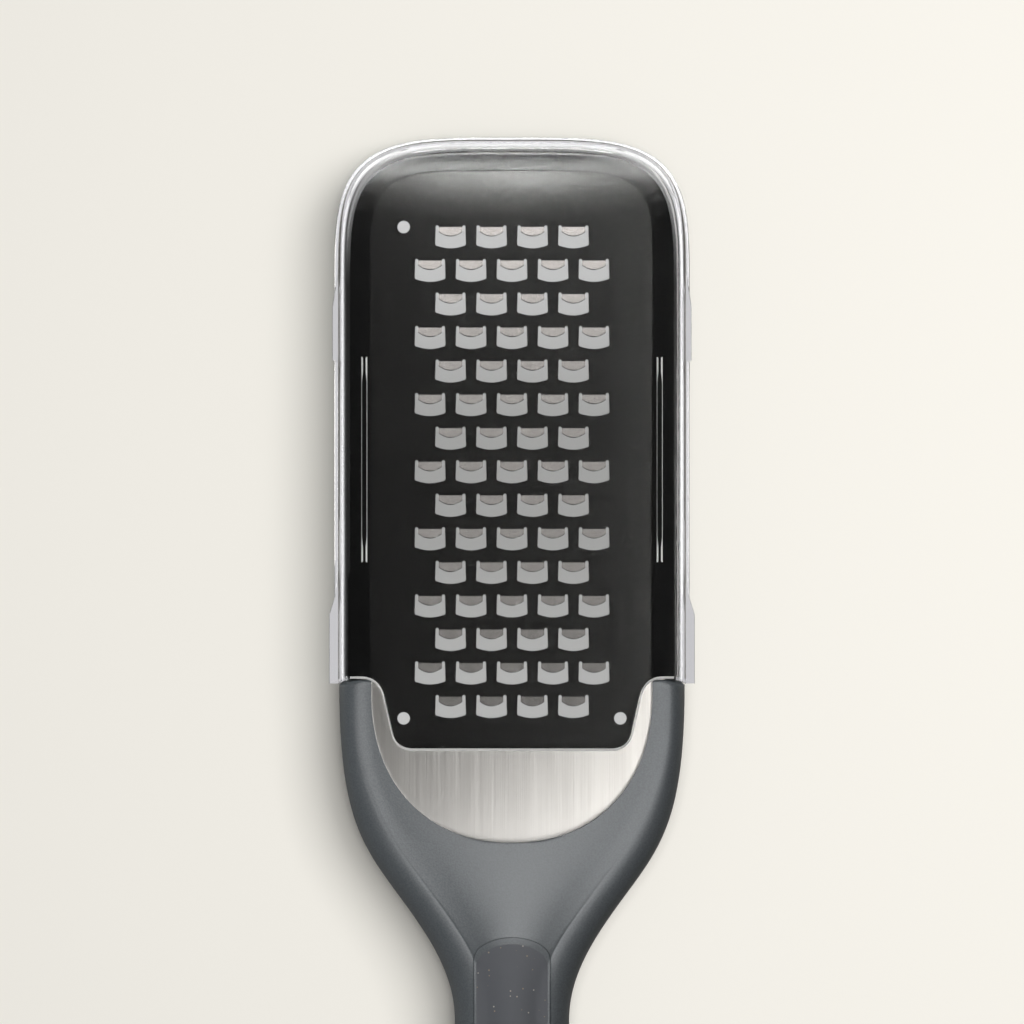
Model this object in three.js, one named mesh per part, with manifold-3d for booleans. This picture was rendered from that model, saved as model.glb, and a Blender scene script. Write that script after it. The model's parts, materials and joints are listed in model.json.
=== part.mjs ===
// A coarse hand grater: an etched steel blade in a rim and a two-shell handle, under a clear slide-on cover.
// Millimetres. It lies on its back: +X across the blade, +Y towards the tip, +Z up out of the blade.
import * as THREE from 'three';
import { mergeGeometries, mergeVertices } from 'three/addons/utils/BufferGeometryUtils.js';
import Module from 'manifold-3d';

const wasm = await Module();
wasm.setup();

// Overall sizes
const headLength = 119.9; // mouth of the cover to its tip
const handleLength = 195.1; // mouth of the cover to the heel
const headWidth = 72.8; // across the rim

// Clearances
const fit = 0.3; // between pieces that seat in one another
const slideFit = 0.4; // between the rim and the cover that runs over it
const toothClearance = 0.8; // between the tooth tips and the cover

// Heights above the table
const bladeTop = 15;
const rimTop = 16.2;
const rimBottom = 4.5;
const coverBottom = 2;
const partingHeight = 9; // where the two handle shells meet
const armTop = 16.6;
const gripTop = 19.4;

// Steel blade
const bladeThickness = 0.6;
const bladeSeat = 2.6; // width of sheet held inside the rim
const tangDepth = 39; // how far the sheet runs into the handle
const dipRadius = 100; // the sheet dips towards the table at the tip
const dipMargin = 2; // flat sheet left above the first row

// Tooth pattern
const rowPitch = 7.37;
const columnPitch = 9;
const teethInLongRow = 5;
const firstRowFromRim = 12.3; // inner edge of the rim at the tip to the first tooth root
const lastRowMargin = 2; // sheet left below the last row
const windowTopWidth = 6.5;
const windowBottomWidth = 6.75;
const windowDrop = 4.75;
const windowSag = 0.6;
const windowCorner = 0.35;
const reliefRise = 0.35; // the slots beside a tooth run past its root
const toothWidth = 5.2;
const toothStraight = 1.1;
const toothReach = 2.1;
const toothRise = 1.1;
const toothLap = 0.3; // part of the tooth that lies in the sheet
const pinHoleDiameter = 2.75;
const pinHoleFromRim = 7.1;

// Rim
const rimWidth = 5.5;
const rimTipWidth = 5.3;
const tipBarWidth = 10.7; // wider bar under the sheet at the tip
const rimRound = 1.5;
const rimChamfer = 0.8;
const rimTipDepth = 32; // length of the rounded tip outside
const lipTipDepth = 25; // and along the inner edge
const rimTipPower = 4;
const lipTipPower = 5;
const tenonLength = 8; // each side bar plugs into an arm of the handle
const tenonWidth = 2.4;
const tenonHeight = 2;
const tenonRise = 1.2; // above the underside

// Feet under the tip
const footLength = 14;
const footWidth = 5.5;
const footSpacing = 36;
const footSink = 1.5; // depth of the recess in the rim
const footRound = 0.6;

// Clear cover
const coverWall = 1.4;
const coverRound = 2.2;
const coverDraft = 0.3; // the wall leans out towards the table
const flangeReach = 0.8;
const flangeHeight = 1.4;
const tongueLength = 14.6; // how far the cover's tongue reaches over the handle end of the blade
const tongueSideGap = 1.7; // inside the rim's inner edge, at the root of the tongue
const tongueTaper = 3.6; // lost from each side by the end of the tongue
const tongueCorner = 4;
const mouthRecess = 1.2; // the roof starts this far inside the side walls
const ribWidth = 1.3;
const ribDepth = 0.4;
const ribLength = 45;
const ribFromMouth = 26.8;
const ribFromRim = 4; // rib middle, from the outside of the rim
const hookReach = 1.2; // hooks under the rim's side bars
const hookHeight = 1.2;
const hookLength = 18;
const fingerPads = [
  { fromMouth: 71.2, length: 20.9, reach: 1.2, slope: 9 },
  { fromMouth: 0, length: 21.8, reach: 1.9, slope: 6.6 },
];
const fingerPadHeight = 8;

// Handle
const armInset = 0.1; // the arms stand this far inside the cover's wall
const armEndInset = 0.2; // and at their chamfered ends
const bayCentre = 1.8; // mouth down to the middle of the curved bays
const crescentDepth = 33; // bay in the front shell that shows the bare steel
const crescentPower = 2.2;
const trayDepth = 14; // bay in the back shell, behind the last teeth
const trayPower = 2.5;
const shoulderPull = 30; // how long the arms run straight before they turn in
const waist = { along: 47.4, half: 24.5, slope: 0.736, pullIn: 11.4, pullOut: 9 };
const neck = { along: 74.5, half: 12.6, pull: 10 };
const grip = { half: 14, pull: 30 };
const heelRound = 18; // length of the rounded end
const heelPlanPower = 2.4; // fullness of the end seen from above
const heelSidePower = 6; // and from the side
const heelEnd = 0.998; // the rounding stops just short, in a small flat
const armBand = 2.5; // side wall's width seen from above
const neckBand = 3.4;
const gripBand = 6.8;
const armCrown = 0.5;
const gripCrown = 1.8;
const bellyBand = 4.5;
const armFullness = 1.32; // of the side bands: nearly a plain slope beside the arms
const gripFullness = 2.3;
const bellyFullness = 2.8;
const bandShare = 0.9; // most of a half-width that a band may take
const bellyFrom = 20; // the underside drops from the arms to the table between these
const bellyTo = 105;

// Soft thumb inlay and hanging hole
const padFromMouth = 55.4;
const padToHeel = 30;
const padHalfWidth = 8.5;
const padArch = 5;
const padDepth = 1.6;
const holeToHeel = 15.5;
const holeLength = 12;
const holeWidth = 7;

// Smoothness of the curves
const tipSteps = 28;
const baySteps = 24;
const roundSteps = 4;
const toothSteps = 6;
const outlineSteps = 10;
const bandSteps = 5;
const crownSteps = 4;

// Places worked out from the sizes above, with the origin under the middle of the whole tool
const tipY = (headLength + handleLength) / 2;
const mouthY = tipY - headLength;
const heelY = mouthY - handleLength;
const roofY = mouthY + mouthRecess; // front edge of the cover's roof
const rimHalf = headWidth / 2;
const rimTipY = tipY - coverWall - slideFit;
const lipHalf = rimHalf - rimWidth;
const tongueRootHalfWidth = lipHalf - tongueSideGap;
const tongueHalfWidth = tongueRootHalfWidth - tongueTaper;
const lipTipY = rimTipY - rimTipWidth;
const barTipY = rimTipY - tipBarWidth;
const bladeHalf = lipHalf + bladeSeat;
const bladeTipY = lipTipY + bladeSeat;
const bladeBottom = bladeTop - bladeThickness;
const bayCentreY = mouthY - bayCentre;
const firstRootY = lipTipY - firstRowFromRim;
const lastRootLimitY = bayCentreY - trayDepth + windowDrop + lastRowMargin;
const rowCount = Math.floor((firstRootY - lastRootLimitY) / rowPitch) + 1;
const coverHalf = rimHalf + slideFit + coverWall;
const coverCeiling = bladeTop + toothRise + toothClearance;
const coverTop = coverCeiling + coverWall;
const armHalf = coverHalf - armInset;
const armEndHalf = coverHalf - coverWall - armEndInset; // the arms are chamfered to pass into the mouth
const beyond = 50; // how far a cutter runs past what it cuts

// Turns a closed three.js geometry into a solid that can be joined and cut.
function solid(geometry) {
  geometry.deleteAttribute('normal');
  geometry.deleteAttribute('uv');
  const merged = mergeVertices(geometry, 1e-4);
  return new wasm.Manifold(
    new wasm.Mesh({
      numProp: 3,
      vertProperties: merged.attributes.position.array,
      triVerts: Uint32Array.from(merged.index.array),
    }),
  );
}

function prism(shape, bottom, top) {
  const settings = { depth: top - bottom, bevelEnabled: false, curveSegments: roundSteps };
  return solid(new THREE.ExtrudeGeometry(shape, settings).translate(0, 0, bottom));
}

function box(x0, x1, y0, y1, z0, z1) {
  const geometry = new THREE.BoxGeometry(Math.abs(x1 - x0), y1 - y0, z1 - z0);
  return solid(geometry.translate((x0 + x1) / 2, (y0 + y1) / 2, (z0 + z1) / 2));
}

// A closed skin through rings of equal count, each seen counter-clockwise from the way the rings run.
function loft(rings, flatten) {
  const count = rings[0].length;
  const last = (rings.length - 1) * count;
  const index = [];
  for (let start = 0; start < last; start += count) {
    for (let i = 0; i < count; i += 1) {
      const next = (i + 1) % count;
      index.push(start + i, start + next, start + count + next);
      index.push(start + i, start + count + next, start + count + i);
    }
  }
  for (const [a, b, c] of THREE.ShapeUtils.triangulateShape(rings[0].map(flatten), [])) {
    index.push(a, c, b);
  }
  for (const [a, b, c] of THREE.ShapeUtils.triangulateShape(rings.at(-1).map(flatten), [])) {
    index.push(last + a, last + b, last + c);
  }
  const geometry = new THREE.BufferGeometry().setFromPoints(rings.flat());
  geometry.setIndex(index);
  return solid(geometry);
}

// Half of a squared-off oval, from its right foot over the crown to its left foot.
function arch(half, rise, power, steps) {
  const points = [];
  for (let i = 0; i <= steps; i += 1) {
    const angle = (Math.PI * i) / steps;
    const across = Math.abs(Math.cos(angle)) ** (2 / power) * Math.sign(Math.cos(angle));
    points.push(new THREE.Vector2(across * half, Math.sin(angle) ** (2 / power) * rise));
  }
  return points;
}

// Outline of the head: straight sides from the foot, closed by a squared-off round tip.
function headOutline(half, tip, foot, depth, power) {
  const crown = arch(half, depth, power, tipSteps);
  crown.forEach((point) => point.setY(point.y + tip - depth));
  return [new THREE.Vector2(half, foot), ...crown, new THREE.Vector2(-half, foot)];
}

// A bay open towards the tip, with a curved end in the handle.
function bayOutline(half, depth, power, mouth) {
  const curve = arch(half, depth, power, baySteps);
  curve.forEach((point) => point.set(-point.x, bayCentreY - point.y));
  return [new THREE.Vector2(-half, mouth), ...curve, new THREE.Vector2(half, mouth)];
}

// Outline of the whole sheet: a round tip, straight edges and a curved tang.
function sheetOutline(grow) {
  const half = bladeHalf + grow;
  const head = headOutline(half, bladeTipY + grow, bayCentreY, lipTipDepth + grow, lipTipPower);
  const tang = bayOutline(half, tangDepth + grow, crescentPower, bayCentreY);
  return new THREE.Shape([...head.slice(1, -1), ...tang.slice(1, -1)]);
}

// The sheet with its dipped tip, grown by a clearance where it cuts a seat for itself.
function sheet(grow) {
  const dipY = firstRootY + dipMargin;
  const sweep = (tipY - dipY) / dipRadius;
  const dipCentre = bladeTop - dipRadius;
  const startY = bayCentreY - tangDepth - beyond;
  const side = new THREE.Shape();
  side.moveTo(startY, bladeBottom - grow);
  side.lineTo(dipY, bladeBottom - grow);
  side.absarc(dipY, dipCentre, dipRadius - bladeThickness - grow, Math.PI / 2, Math.PI / 2 - sweep, true);
  side.absarc(dipY, dipCentre, dipRadius + grow, Math.PI / 2 - sweep, Math.PI / 2, false);
  side.lineTo(startY, bladeTop + grow);
  const wide = { depth: headWidth, bevelEnabled: false, curveSegments: roundSteps };
  const band = new THREE.ExtrudeGeometry(side, wide);
  const turned = new THREE.Matrix4().makeBasis(
    new THREE.Vector3(0, 1, 0),
    new THREE.Vector3(0, 0, 1),
    new THREE.Vector3(1, 0, 0),
  );
  band.applyMatrix4(turned).translate(-headWidth / 2, 0, 0);
  return solid(band).intersect(prism(sheetOutline(grow), 0, bladeTop + beyond));
}

function stadium(length, width, x, y, turn = 0) {
  const straight = (length - width) / 2;
  const shape = new THREE.Shape();
  shape.absarc(straight, 0, width / 2, -Math.PI / 2, Math.PI / 2, false);
  shape.absarc(-straight, 0, width / 2, Math.PI / 2, (Math.PI * 3) / 2, false);
  const points = shape.getPoints(2 * roundSteps);
  points.forEach((point) => point.rotateAround(new THREE.Vector2(), turn).add(new THREE.Vector2(x, y)));
  return new THREE.Shape(points.slice(0, -1));
}

// One etched window below a tooth root, with relief slots beside the tooth.
function windowShape() {
  const left = -windowTopWidth / 2;
  const low = -(windowDrop - windowSag);
  const foot = windowBottomWidth / 2;
  const shape = new THREE.Shape();
  shape.moveTo(left, reliefRise);
  shape.lineTo(-foot, low + windowCorner);
  shape.lineTo(-foot + windowCorner, low);
  shape.quadraticCurveTo(0, -(windowDrop + windowSag), foot - windowCorner, low);
  shape.lineTo(foot, low + windowCorner);
  shape.lineTo(-left, reliefRise);
  shape.lineTo(toothWidth / 2, reliefRise);
  shape.lineTo(toothWidth / 2, 0);
  shape.lineTo(-toothWidth / 2, 0);
  shape.lineTo(-toothWidth / 2, reliefRise);
  return shape;
}

// A half-moon tooth that leaves the sheet at its root and rises over the window.
function toothGeometry() {
  const half = toothWidth / 2;
  const shape = new THREE.Shape();
  shape.moveTo(-half, toothLap);
  shape.lineTo(-half, 0);
  shape.lineTo(-half, -toothStraight);
  shape.quadraticCurveTo(0, toothStraight - 2 * toothReach, half, -toothStraight);
  shape.lineTo(half, 0);
  shape.lineTo(half, toothLap);
  const settings = { depth: bladeThickness, bevelEnabled: false, curveSegments: toothSteps };
  const geometry = new THREE.ExtrudeGeometry(shape, settings).translate(0, 0, bladeBottom);
  const place = geometry.attributes.position;
  for (let i = 0; i < place.count; i += 1) {
    const lift = (toothRise * Math.max(0, -place.getY(i))) / toothReach;
    place.setZ(i, place.getZ(i) + lift);
  }
  return geometry;
}

// Rows of teeth, long and short in turn, from the tip down.
function toothPlaces() {
  const places = [];
  for (let row = 0; row < rowCount; row += 1) {
    const inRow = row % 2 === 1 ? teethInLongRow : teethInLongRow - 1;
    for (let i = 0; i < inRow; i += 1) {
      places.push(new THREE.Vector2((i - (inRow - 1) / 2) * columnPitch, firstRootY - row * rowPitch));
    }
  }
  return places;
}

function patterned(geometry) {
  return solid(mergeGeometries(toothPlaces().map((at) => geometry.clone().translate(at.x, at.y, 0))));
}

function bladeSolid() {
  const cutter = { depth: 2 * beyond, bevelEnabled: false, curveSegments: roundSteps };
  const window = new THREE.ExtrudeGeometry(windowShape(), cutter).translate(0, 0, -beyond);
  const lastWindowY = firstRootY - (rowCount - 1) * rowPitch - windowDrop;
  const holeX = lipHalf - pinHoleFromRim;
  let blade = sheet(0).subtract(patterned(window));
  for (const [x, y] of [[-holeX, firstRootY], [-holeX, lastWindowY], [holeX, lastWindowY]]) {
    const hole = new THREE.Shape().absarc(x, y, pinHoleDiameter / 2, 0, 2 * Math.PI, false);
    blade = blade.subtract(prism(hole, -beyond, beyond));
  }
  return blade.add(patterned(toothGeometry()));
}

// Rings of a head outline at rising heights: each level is an inset and a height.
function headLoft(levels, half, tip, foot, depth, power) {
  const rings = levels.map(([inset, height]) =>
    headOutline(half - inset, tip - inset, foot, depth - inset, power).map(
      (point) => new THREE.Vector3(point.x, point.y, height),
    ),
  );
  return loft(rings, (point) => new THREE.Vector2(point.x, point.y));
}

// Levels of a rounded top edge, from where the side wall ends.
function roundedEdge(radius, top) {
  const levels = [];
  for (let i = 0; i <= roundSteps; i += 1) {
    const angle = (Math.PI / 2) * (i / roundSteps);
    levels.push([radius * (1 - Math.cos(angle)), top - radius * (1 - Math.sin(angle))]);
  }
  return levels;
}

function footY() {
  return (rimTipY + barTipY) / 2;
}

// The plug on the end of one side bar, grown by a clearance where it cuts its socket.
function tenon(side, grow) {
  const inner = side * (lipHalf + rimWidth / 2 - tenonWidth / 2 - grow);
  const outer = side * (lipHalf + rimWidth / 2 + tenonWidth / 2 + grow);
  const low = rimBottom + tenonRise;
  return box(inner, outer, mouthY - tenonLength - grow, roofY + fit, low - grow, low + tenonHeight + grow);
}

function rimSolid() {
  const levels = [[rimChamfer, rimBottom], [0, rimBottom + rimChamfer], ...roundedEdge(rimRound, rimTop)];
  const middle = bladeTop - bladeThickness / 2;
  const lip = new THREE.Shape(headOutline(lipHalf, lipTipY, mouthY - beyond, lipTipDepth, lipTipPower));
  const well = new THREE.Shape(headOutline(lipHalf, barTipY, mouthY - beyond, lipTipDepth, lipTipPower));
  let rim = headLoft(levels, rimHalf, rimTipY, roofY, rimTipDepth, rimTipPower);
  rim = rim.subtract(prism(lip, middle, rimTop + beyond)).subtract(prism(well, -beyond, middle));
  rim = rim.subtract(sheet(fit));
  for (const side of [-1, 1]) {
    const recess = stadium(footLength + 2 * fit, footWidth + 2 * fit, (side * footSpacing) / 2, footY());
    rim = rim.subtract(prism(recess, -beyond, rimBottom + footSink)).add(tenon(side, 0));
  }
  return rim;
}

function footSolid(side) {
  const settings = {
    depth: rimBottom + footSink - fit - 2 * footRound,
    bevelThickness: footRound,
    bevelSize: footRound,
    bevelOffset: -footRound,
    bevelSegments: 1,
  };
  const shape = stadium(footLength, footWidth, (side * footSpacing) / 2, footY());
  return solid(new THREE.ExtrudeGeometry(shape, settings).translate(0, 0, footRound));
}

// The open front of the cover seen from above: side walls, a recessed roof and a tongue over the bare steel.
function mouthShape() {
  const tongueY = mouthY - tongueLength;
  const run = (tongueRootHalfWidth - tongueHalfWidth) / (tongueLength + mouthRecess);
  const right = new THREE.Path();
  right.moveTo(tongueHalfWidth - tongueCorner, tongueY);
  right.quadraticCurveTo(
    tongueHalfWidth,
    tongueY,
    tongueHalfWidth + run * tongueCorner,
    tongueY + tongueCorner,
  );
  right.lineTo(tongueRootHalfWidth - run * tongueCorner, roofY - tongueCorner);
  right.quadraticCurveTo(tongueRootHalfWidth, roofY, tongueRootHalfWidth + tongueCorner, roofY);
  right.lineTo(coverHalf - coverWall, roofY);
  right.lineTo(coverHalf, mouthY);
  right.lineTo(coverHalf + beyond, mouthY);
  const half = right.getPoints(outlineSteps);
  const mirrored = half.map((point) => new THREE.Vector2(-point.x, point.y)).reverse();
  const farY = mouthY - beyond;
  const corners = [new THREE.Vector2(coverHalf + beyond, farY), new THREE.Vector2(-coverHalf - beyond, farY)];
  return new THREE.Shape([...mirrored, ...half, ...corners]);
}

// A finger pad on one side wall: it ramps out towards the mouth and ends in a step.
function fingerPadShape(pad, side) {
  const inner = coverHalf - coverWall / 2;
  const outer = coverHalf + pad.reach;
  const lowY = mouthY + pad.fromMouth;
  const highY = lowY + pad.length;
  const outline = [
    [inner, lowY],
    [outer, lowY],
    [outer, highY - pad.slope],
    [coverHalf, highY],
    [inner, highY],
  ];
  return new THREE.Shape(outline.map(([x, y]) => new THREE.Vector2(side * x, y)));
}

function coverSolid() {
  const innerHalf = coverHalf - coverWall;
  const backY = mouthY - beyond / 2;
  const outside = [[-coverDraft, coverBottom], ...roundedEdge(coverRound, coverTop)];
  const inside = [
    [-coverDraft, coverBottom - beyond],
    [-coverDraft, coverBottom],
    ...roundedEdge(coverRound - coverWall, coverCeiling),
  ];
  const depth = rimTipDepth + slideFit;
  const hollow = headLoft(inside, innerHalf, tipY - coverWall, backY, depth, rimTipPower);
  const flangeHalf = coverHalf + flangeReach;
  const flangeTipY = tipY - coverDraft / 2;
  const flange = new THREE.Shape(
    headOutline(flangeHalf, flangeTipY, backY, depth + coverWall, rimTipPower),
  );
  let cover = headLoft(outside, coverHalf, tipY - coverDraft, backY, depth + coverWall, rimTipPower);
  cover = cover.add(prism(flange, coverBottom, coverBottom + flangeHeight));
  for (const side of [-1, 1]) {
    for (const pad of fingerPads) {
      cover = cover.add(prism(fingerPadShape(pad, side), coverBottom, coverBottom + fingerPadHeight));
    }
  }
  cover = cover.subtract(hollow).subtract(prism(mouthShape(), -beyond, coverTop + beyond));
  const ribX = rimHalf - ribFromRim;
  const ribY = mouthY + ribFromMouth;
  const hookTop = rimBottom - fit;
  const straightEndY = tipY - rimTipDepth;
  for (const side of [-1, 1]) {
    const ribOuter = side * (ribX + ribWidth / 2);
    const ribInner = side * (ribX - ribWidth / 2);
    const ribTop = coverCeiling + coverWall / 2;
    cover = cover.add(box(ribInner, ribOuter, ribY, ribY + ribLength, coverCeiling - ribDepth, ribTop));
    const hookInner = side * (rimHalf - hookReach);
    const hookOuter = side * (coverHalf - coverWall / 2);
    for (const startY of [mouthY + hookLength, straightEndY - hookLength]) {
      const endY = startY + hookLength;
      cover = cover.add(box(hookInner, hookOuter, startY, endY, hookTop - hookHeight, hookTop));
    }
  }
  return cover;
}

// Half-width of the handle along its length, from the arms through the waist and the neck to the heel.
function handleStations() {
  const path = new THREE.Path();
  path.moveTo(fit - mouthRecess, armEndHalf);
  path.lineTo(fit, armHalf);
  path.bezierCurveTo(
    shoulderPull,
    armHalf,
    waist.along - waist.pullIn,
    waist.half + waist.slope * waist.pullIn,
    waist.along,
    waist.half,
  );
  path.bezierCurveTo(
    waist.along + waist.pullOut,
    waist.half - waist.slope * waist.pullOut,
    neck.along - neck.pull,
    neck.half,
    neck.along,
    neck.half,
  );
  const gripEnd = handleLength - heelRound;
  path.bezierCurveTo(
    neck.along + grip.pull,
    neck.half,
    gripEnd - grip.pull,
    grip.half,
    gripEnd,
    grip.half,
  );
  const stations = path.getPoints(outlineSteps).map((point) => ({ along: point.x, half: point.y, depth: 1 }));
  const heelSteps = 2 * roundSteps;
  for (let i = 1; i <= heelSteps; i += 1) {
    const reach = Math.sin((Math.PI / 2) * (i / heelSteps));
    stations.push({
      along: gripEnd + heelRound * reach,
      half: grip.half * (1 - (reach * heelEnd) ** heelPlanPower) ** (1 / heelPlanPower),
      depth: Math.cbrt(1 - (reach * heelEnd) ** heelSidePower),
    });
  }
  return stations;
}

const ease = (along, from, to, low, high) =>
  THREE.MathUtils.lerp(low, high, THREE.MathUtils.smoothstep(along, from, to));

// Half a section from the widest line inwards: a side band, then a crowned face to the middle.
function halfSection(half, band, fullness, edgeZ, faceZ, middleZ) {
  const points = [];
  for (let i = 0; i <= bandSteps; i += 1) {
    const angle = (Math.PI / 2) * (i / bandSteps);
    const outward = band * Math.cos(angle) ** (2 / fullness);
    const upward = (faceZ - edgeZ) * Math.sin(angle) ** (2 / fullness);
    points.push(new THREE.Vector2(half - band + outward, edgeZ + upward));
  }
  for (let i = 1; i <= crownSteps; i += 1) {
    const outward = 1 - i / crownSteps;
    points.push(new THREE.Vector2((half - band) * outward, middleZ - (middleZ - faceZ) * outward ** 2));
  }
  return points;
}

function wholeSection(points, y) {
  const left = points.slice(0, -1).map((point) => new THREE.Vector2(-point.x, point.y));
  return [...points, ...left.reverse()].map((point) => new THREE.Vector3(point.x, y, point.y));
}

const flattenSection = (point) => new THREE.Vector2(point.x, point.z);

// The upper half of the handle, lowered by a depth where it cuts a pocket floor.
function upperHandle(lowered = 0) {
  const edge = partingHeight + fit / 2;
  const rings = handleStations().map(({ along, half, depth }) => {
    const slim = ease(along, bayCentre, waist.along, armBand, neckBand);
    const band = Math.min(ease(along, waist.along, neck.along, slim, gripBand), half * bandShare);
    const fullness = ease(along, waist.along, neck.along, armFullness, gripFullness);
    const narrowed = Math.min(1, half / neck.half);
    const crown = ease(along, bayCentre, neck.along, armCrown, gripCrown) * depth * narrowed;
    const rise = ease(along, bayCentre, neck.along, armTop, gripTop) - lowered - edge;
    const top = edge + rise * depth;
    return wholeSection(halfSection(half, band, fullness, edge, top - crown, top), mouthY - along);
  });
  return loft(rings, flattenSection);
}

// The lower half, flat underneath, from the arms down to the table.
function lowerHandle() {
  const edge = partingHeight - fit / 2;
  const rings = handleStations().map(({ along, half, depth }) => {
    const bottom = edge - (edge - ease(along, bellyFrom, bellyTo, rimBottom, 0)) * depth;
    const band = Math.min(bellyBand, half * bandShare);
    const section = halfSection(half, band, bellyFullness, edge, bottom, bottom);
    return wholeSection(section, mouthY - along).reverse();
  });
  return loft(rings, flattenSection);
}

function padShape(grow) {
  const top = mouthY - padFromMouth;
  const low = heelY + padToHeel;
  const half = padHalfWidth + grow;
  const shape = new THREE.Shape();
  shape.absellipse(0, top - padArch, half, padArch + grow, 0, Math.PI, false);
  shape.absellipse(0, low + padHalfWidth, half, half, Math.PI, 2 * Math.PI, false);
  return new THREE.Shape(shape.getPoints(2 * roundSteps).slice(0, -1));
}

function hangingHole() {
  return prism(stadium(holeLength, holeWidth, 0, heelY + holeToHeel, Math.PI / 2), -beyond, beyond);
}

function frontShell() {
  const crescent = new THREE.Shape(bayOutline(lipHalf, crescentDepth, crescentPower, mouthY + beyond));
  const pocket = prism(padShape(0), partingHeight, beyond).subtract(upperHandle(padDepth));
  return upperHandle()
    .subtract(prism(sheetOutline(fit), 0, bladeTop + fit))
    .subtract(prism(crescent, bladeTop, beyond))
    .subtract(pocket)
    .subtract(hangingHole());
}

// The back shell carries a block that rises into the front shell and clamps the sheet.
function backShell() {
  const tray = new THREE.Shape(bayOutline(lipHalf, trayDepth, trayPower, mouthY + beyond));
  const clamp = prism(sheetOutline(0), partingHeight - fit, bladeBottom - fit);
  const front = box(-headWidth, headWidth, heelY, roofY - fit, 0, beyond);
  return lowerHandle()
    .add(clamp.intersect(front))
    .subtract(prism(tray, -beyond, beyond))
    .subtract(tenon(-1, fit))
    .subtract(tenon(1, fit))
    .subtract(hangingHole());
}

function thumbPad() {
  return upperHandle()
    .intersect(prism(padShape(-fit), partingHeight, beyond))
    .subtract(upperHandle(padDepth - fit));
}

const finishes = {
  coatedSteel: { color: 0x2b2a29, roughness: 0.35, metalness: 0.8 },
  blackGloss: { color: 0x141414, roughness: 0.2, metalness: 0 },
  slate: { color: 0x5d6266, roughness: 0.55, metalness: 0 },
  softGrey: { color: 0x505458, roughness: 0.8, metalness: 0 },
  rubber: { color: 0x2c2d2f, roughness: 0.85, metalness: 0 },
  clear: { color: 0xeef2f2, roughness: 0.08, metalness: 0, transparent: true, opacity: 0.3 },
};

const grater = new THREE.Group();

function place(name, body, finish) {
  const { vertProperties, triVerts } = body.getMesh();
  const geometry = new THREE.BufferGeometry();
  geometry.setAttribute('position', new THREE.BufferAttribute(vertProperties, 3));
  geometry.setIndex(new THREE.BufferAttribute(triVerts, 1));
  const mesh = new THREE.Mesh(geometry, new THREE.MeshStandardMaterial(finishes[finish]));
  mesh.name = name;
  grater.add(mesh);
}

place('blade', bladeSolid(), 'coatedSteel');
place('blade_rim', rimSolid(), 'blackGloss');
place('tip_foot_left', footSolid(-1), 'rubber');
place('tip_foot_right', footSolid(1), 'rubber');
place('handle_front', frontShell(), 'slate');
place('handle_back', backShell(), 'slate');
place('thumb_pad', thumbPad(), 'softGrey');
place('cover', coverSolid(), 'clear');

export default grater;
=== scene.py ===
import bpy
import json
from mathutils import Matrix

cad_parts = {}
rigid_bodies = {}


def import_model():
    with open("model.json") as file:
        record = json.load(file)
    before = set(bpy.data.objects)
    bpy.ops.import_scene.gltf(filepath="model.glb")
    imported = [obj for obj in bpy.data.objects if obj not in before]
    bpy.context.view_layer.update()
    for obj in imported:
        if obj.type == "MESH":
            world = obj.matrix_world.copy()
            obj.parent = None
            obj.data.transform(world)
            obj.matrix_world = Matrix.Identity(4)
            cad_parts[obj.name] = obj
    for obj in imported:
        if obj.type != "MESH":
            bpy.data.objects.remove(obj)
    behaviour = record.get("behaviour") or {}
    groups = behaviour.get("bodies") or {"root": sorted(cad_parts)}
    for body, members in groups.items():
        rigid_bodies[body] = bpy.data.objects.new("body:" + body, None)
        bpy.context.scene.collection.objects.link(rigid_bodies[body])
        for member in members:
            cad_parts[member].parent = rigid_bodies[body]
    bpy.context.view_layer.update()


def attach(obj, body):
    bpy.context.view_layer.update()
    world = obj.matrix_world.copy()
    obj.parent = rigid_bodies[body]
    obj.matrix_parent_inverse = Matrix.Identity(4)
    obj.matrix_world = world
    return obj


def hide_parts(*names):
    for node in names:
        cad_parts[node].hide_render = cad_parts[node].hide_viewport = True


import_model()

import json
import math
import bmesh
import bpy
from mathutils import Matrix, Vector

# Meshes are modelled in millimetres and scaled to metres when they are finished
tool = {
    "mouthY": 37.6,  # open end of the cover's side walls
    "roofY": 38.8,  # front edge of its roof
    "rimHalf": 36.4,
    "rimTipY": 155.7,
    "lipHalf": 30.9,  # inner edge of the rim
    "lipTipY": 150.4,
    "bladeTop": 15.0,
    "bladeThickness": 0.6,
    "dipY": 140.1,  # the sheet and its rim dip towards the tip from here
    "dipRadius": 100.0,
    "bayCentreY": 35.8,  # middle of the curved bays in the handle
}


def lerp(a, b, t):
    return a + (b - a) * t


def ease(x, start, end, low, high):
    t = min(1.0, max(0.0, (x - start) / (end - start)))
    return lerp(low, high, t * t * (3 - 2 * t))


def dip(y):
    run = max(0.0, y - tool["dipY"])
    return tool["dipRadius"] - math.sqrt(tool["dipRadius"] ** 2 - run * run)


# Squared-off quarter curves, walked by angle so that the points stay even
def squircle(half, depth, power, angle):
    c, s = math.cos(angle), math.sin(angle)
    reach = (abs(c) ** power + abs(s) ** power) ** (-1 / power)
    return half * c * reach, depth * s * reach


# A grid whose points are moved to place(column, row)
def netPiece(bm, columns, rows, place):
    made = bmesh.ops.create_grid(bm, x_segments=columns, y_segments=rows, size=0.5)["verts"]
    net = {}
    for vert in made:
        at = (round((vert.co.x + 0.5) * columns), round((vert.co.y + 0.5) * rows))
        vert.co = place(*at)
        net[at] = vert
    return net


def joined(bm, verts):
    return [bm.edges.new(pair) for pair in zip(verts, verts[1:])]


def chain(bm, points):
    verts = [bm.verts.new(point) for point in points]
    return verts, joined(bm, verts)


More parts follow.
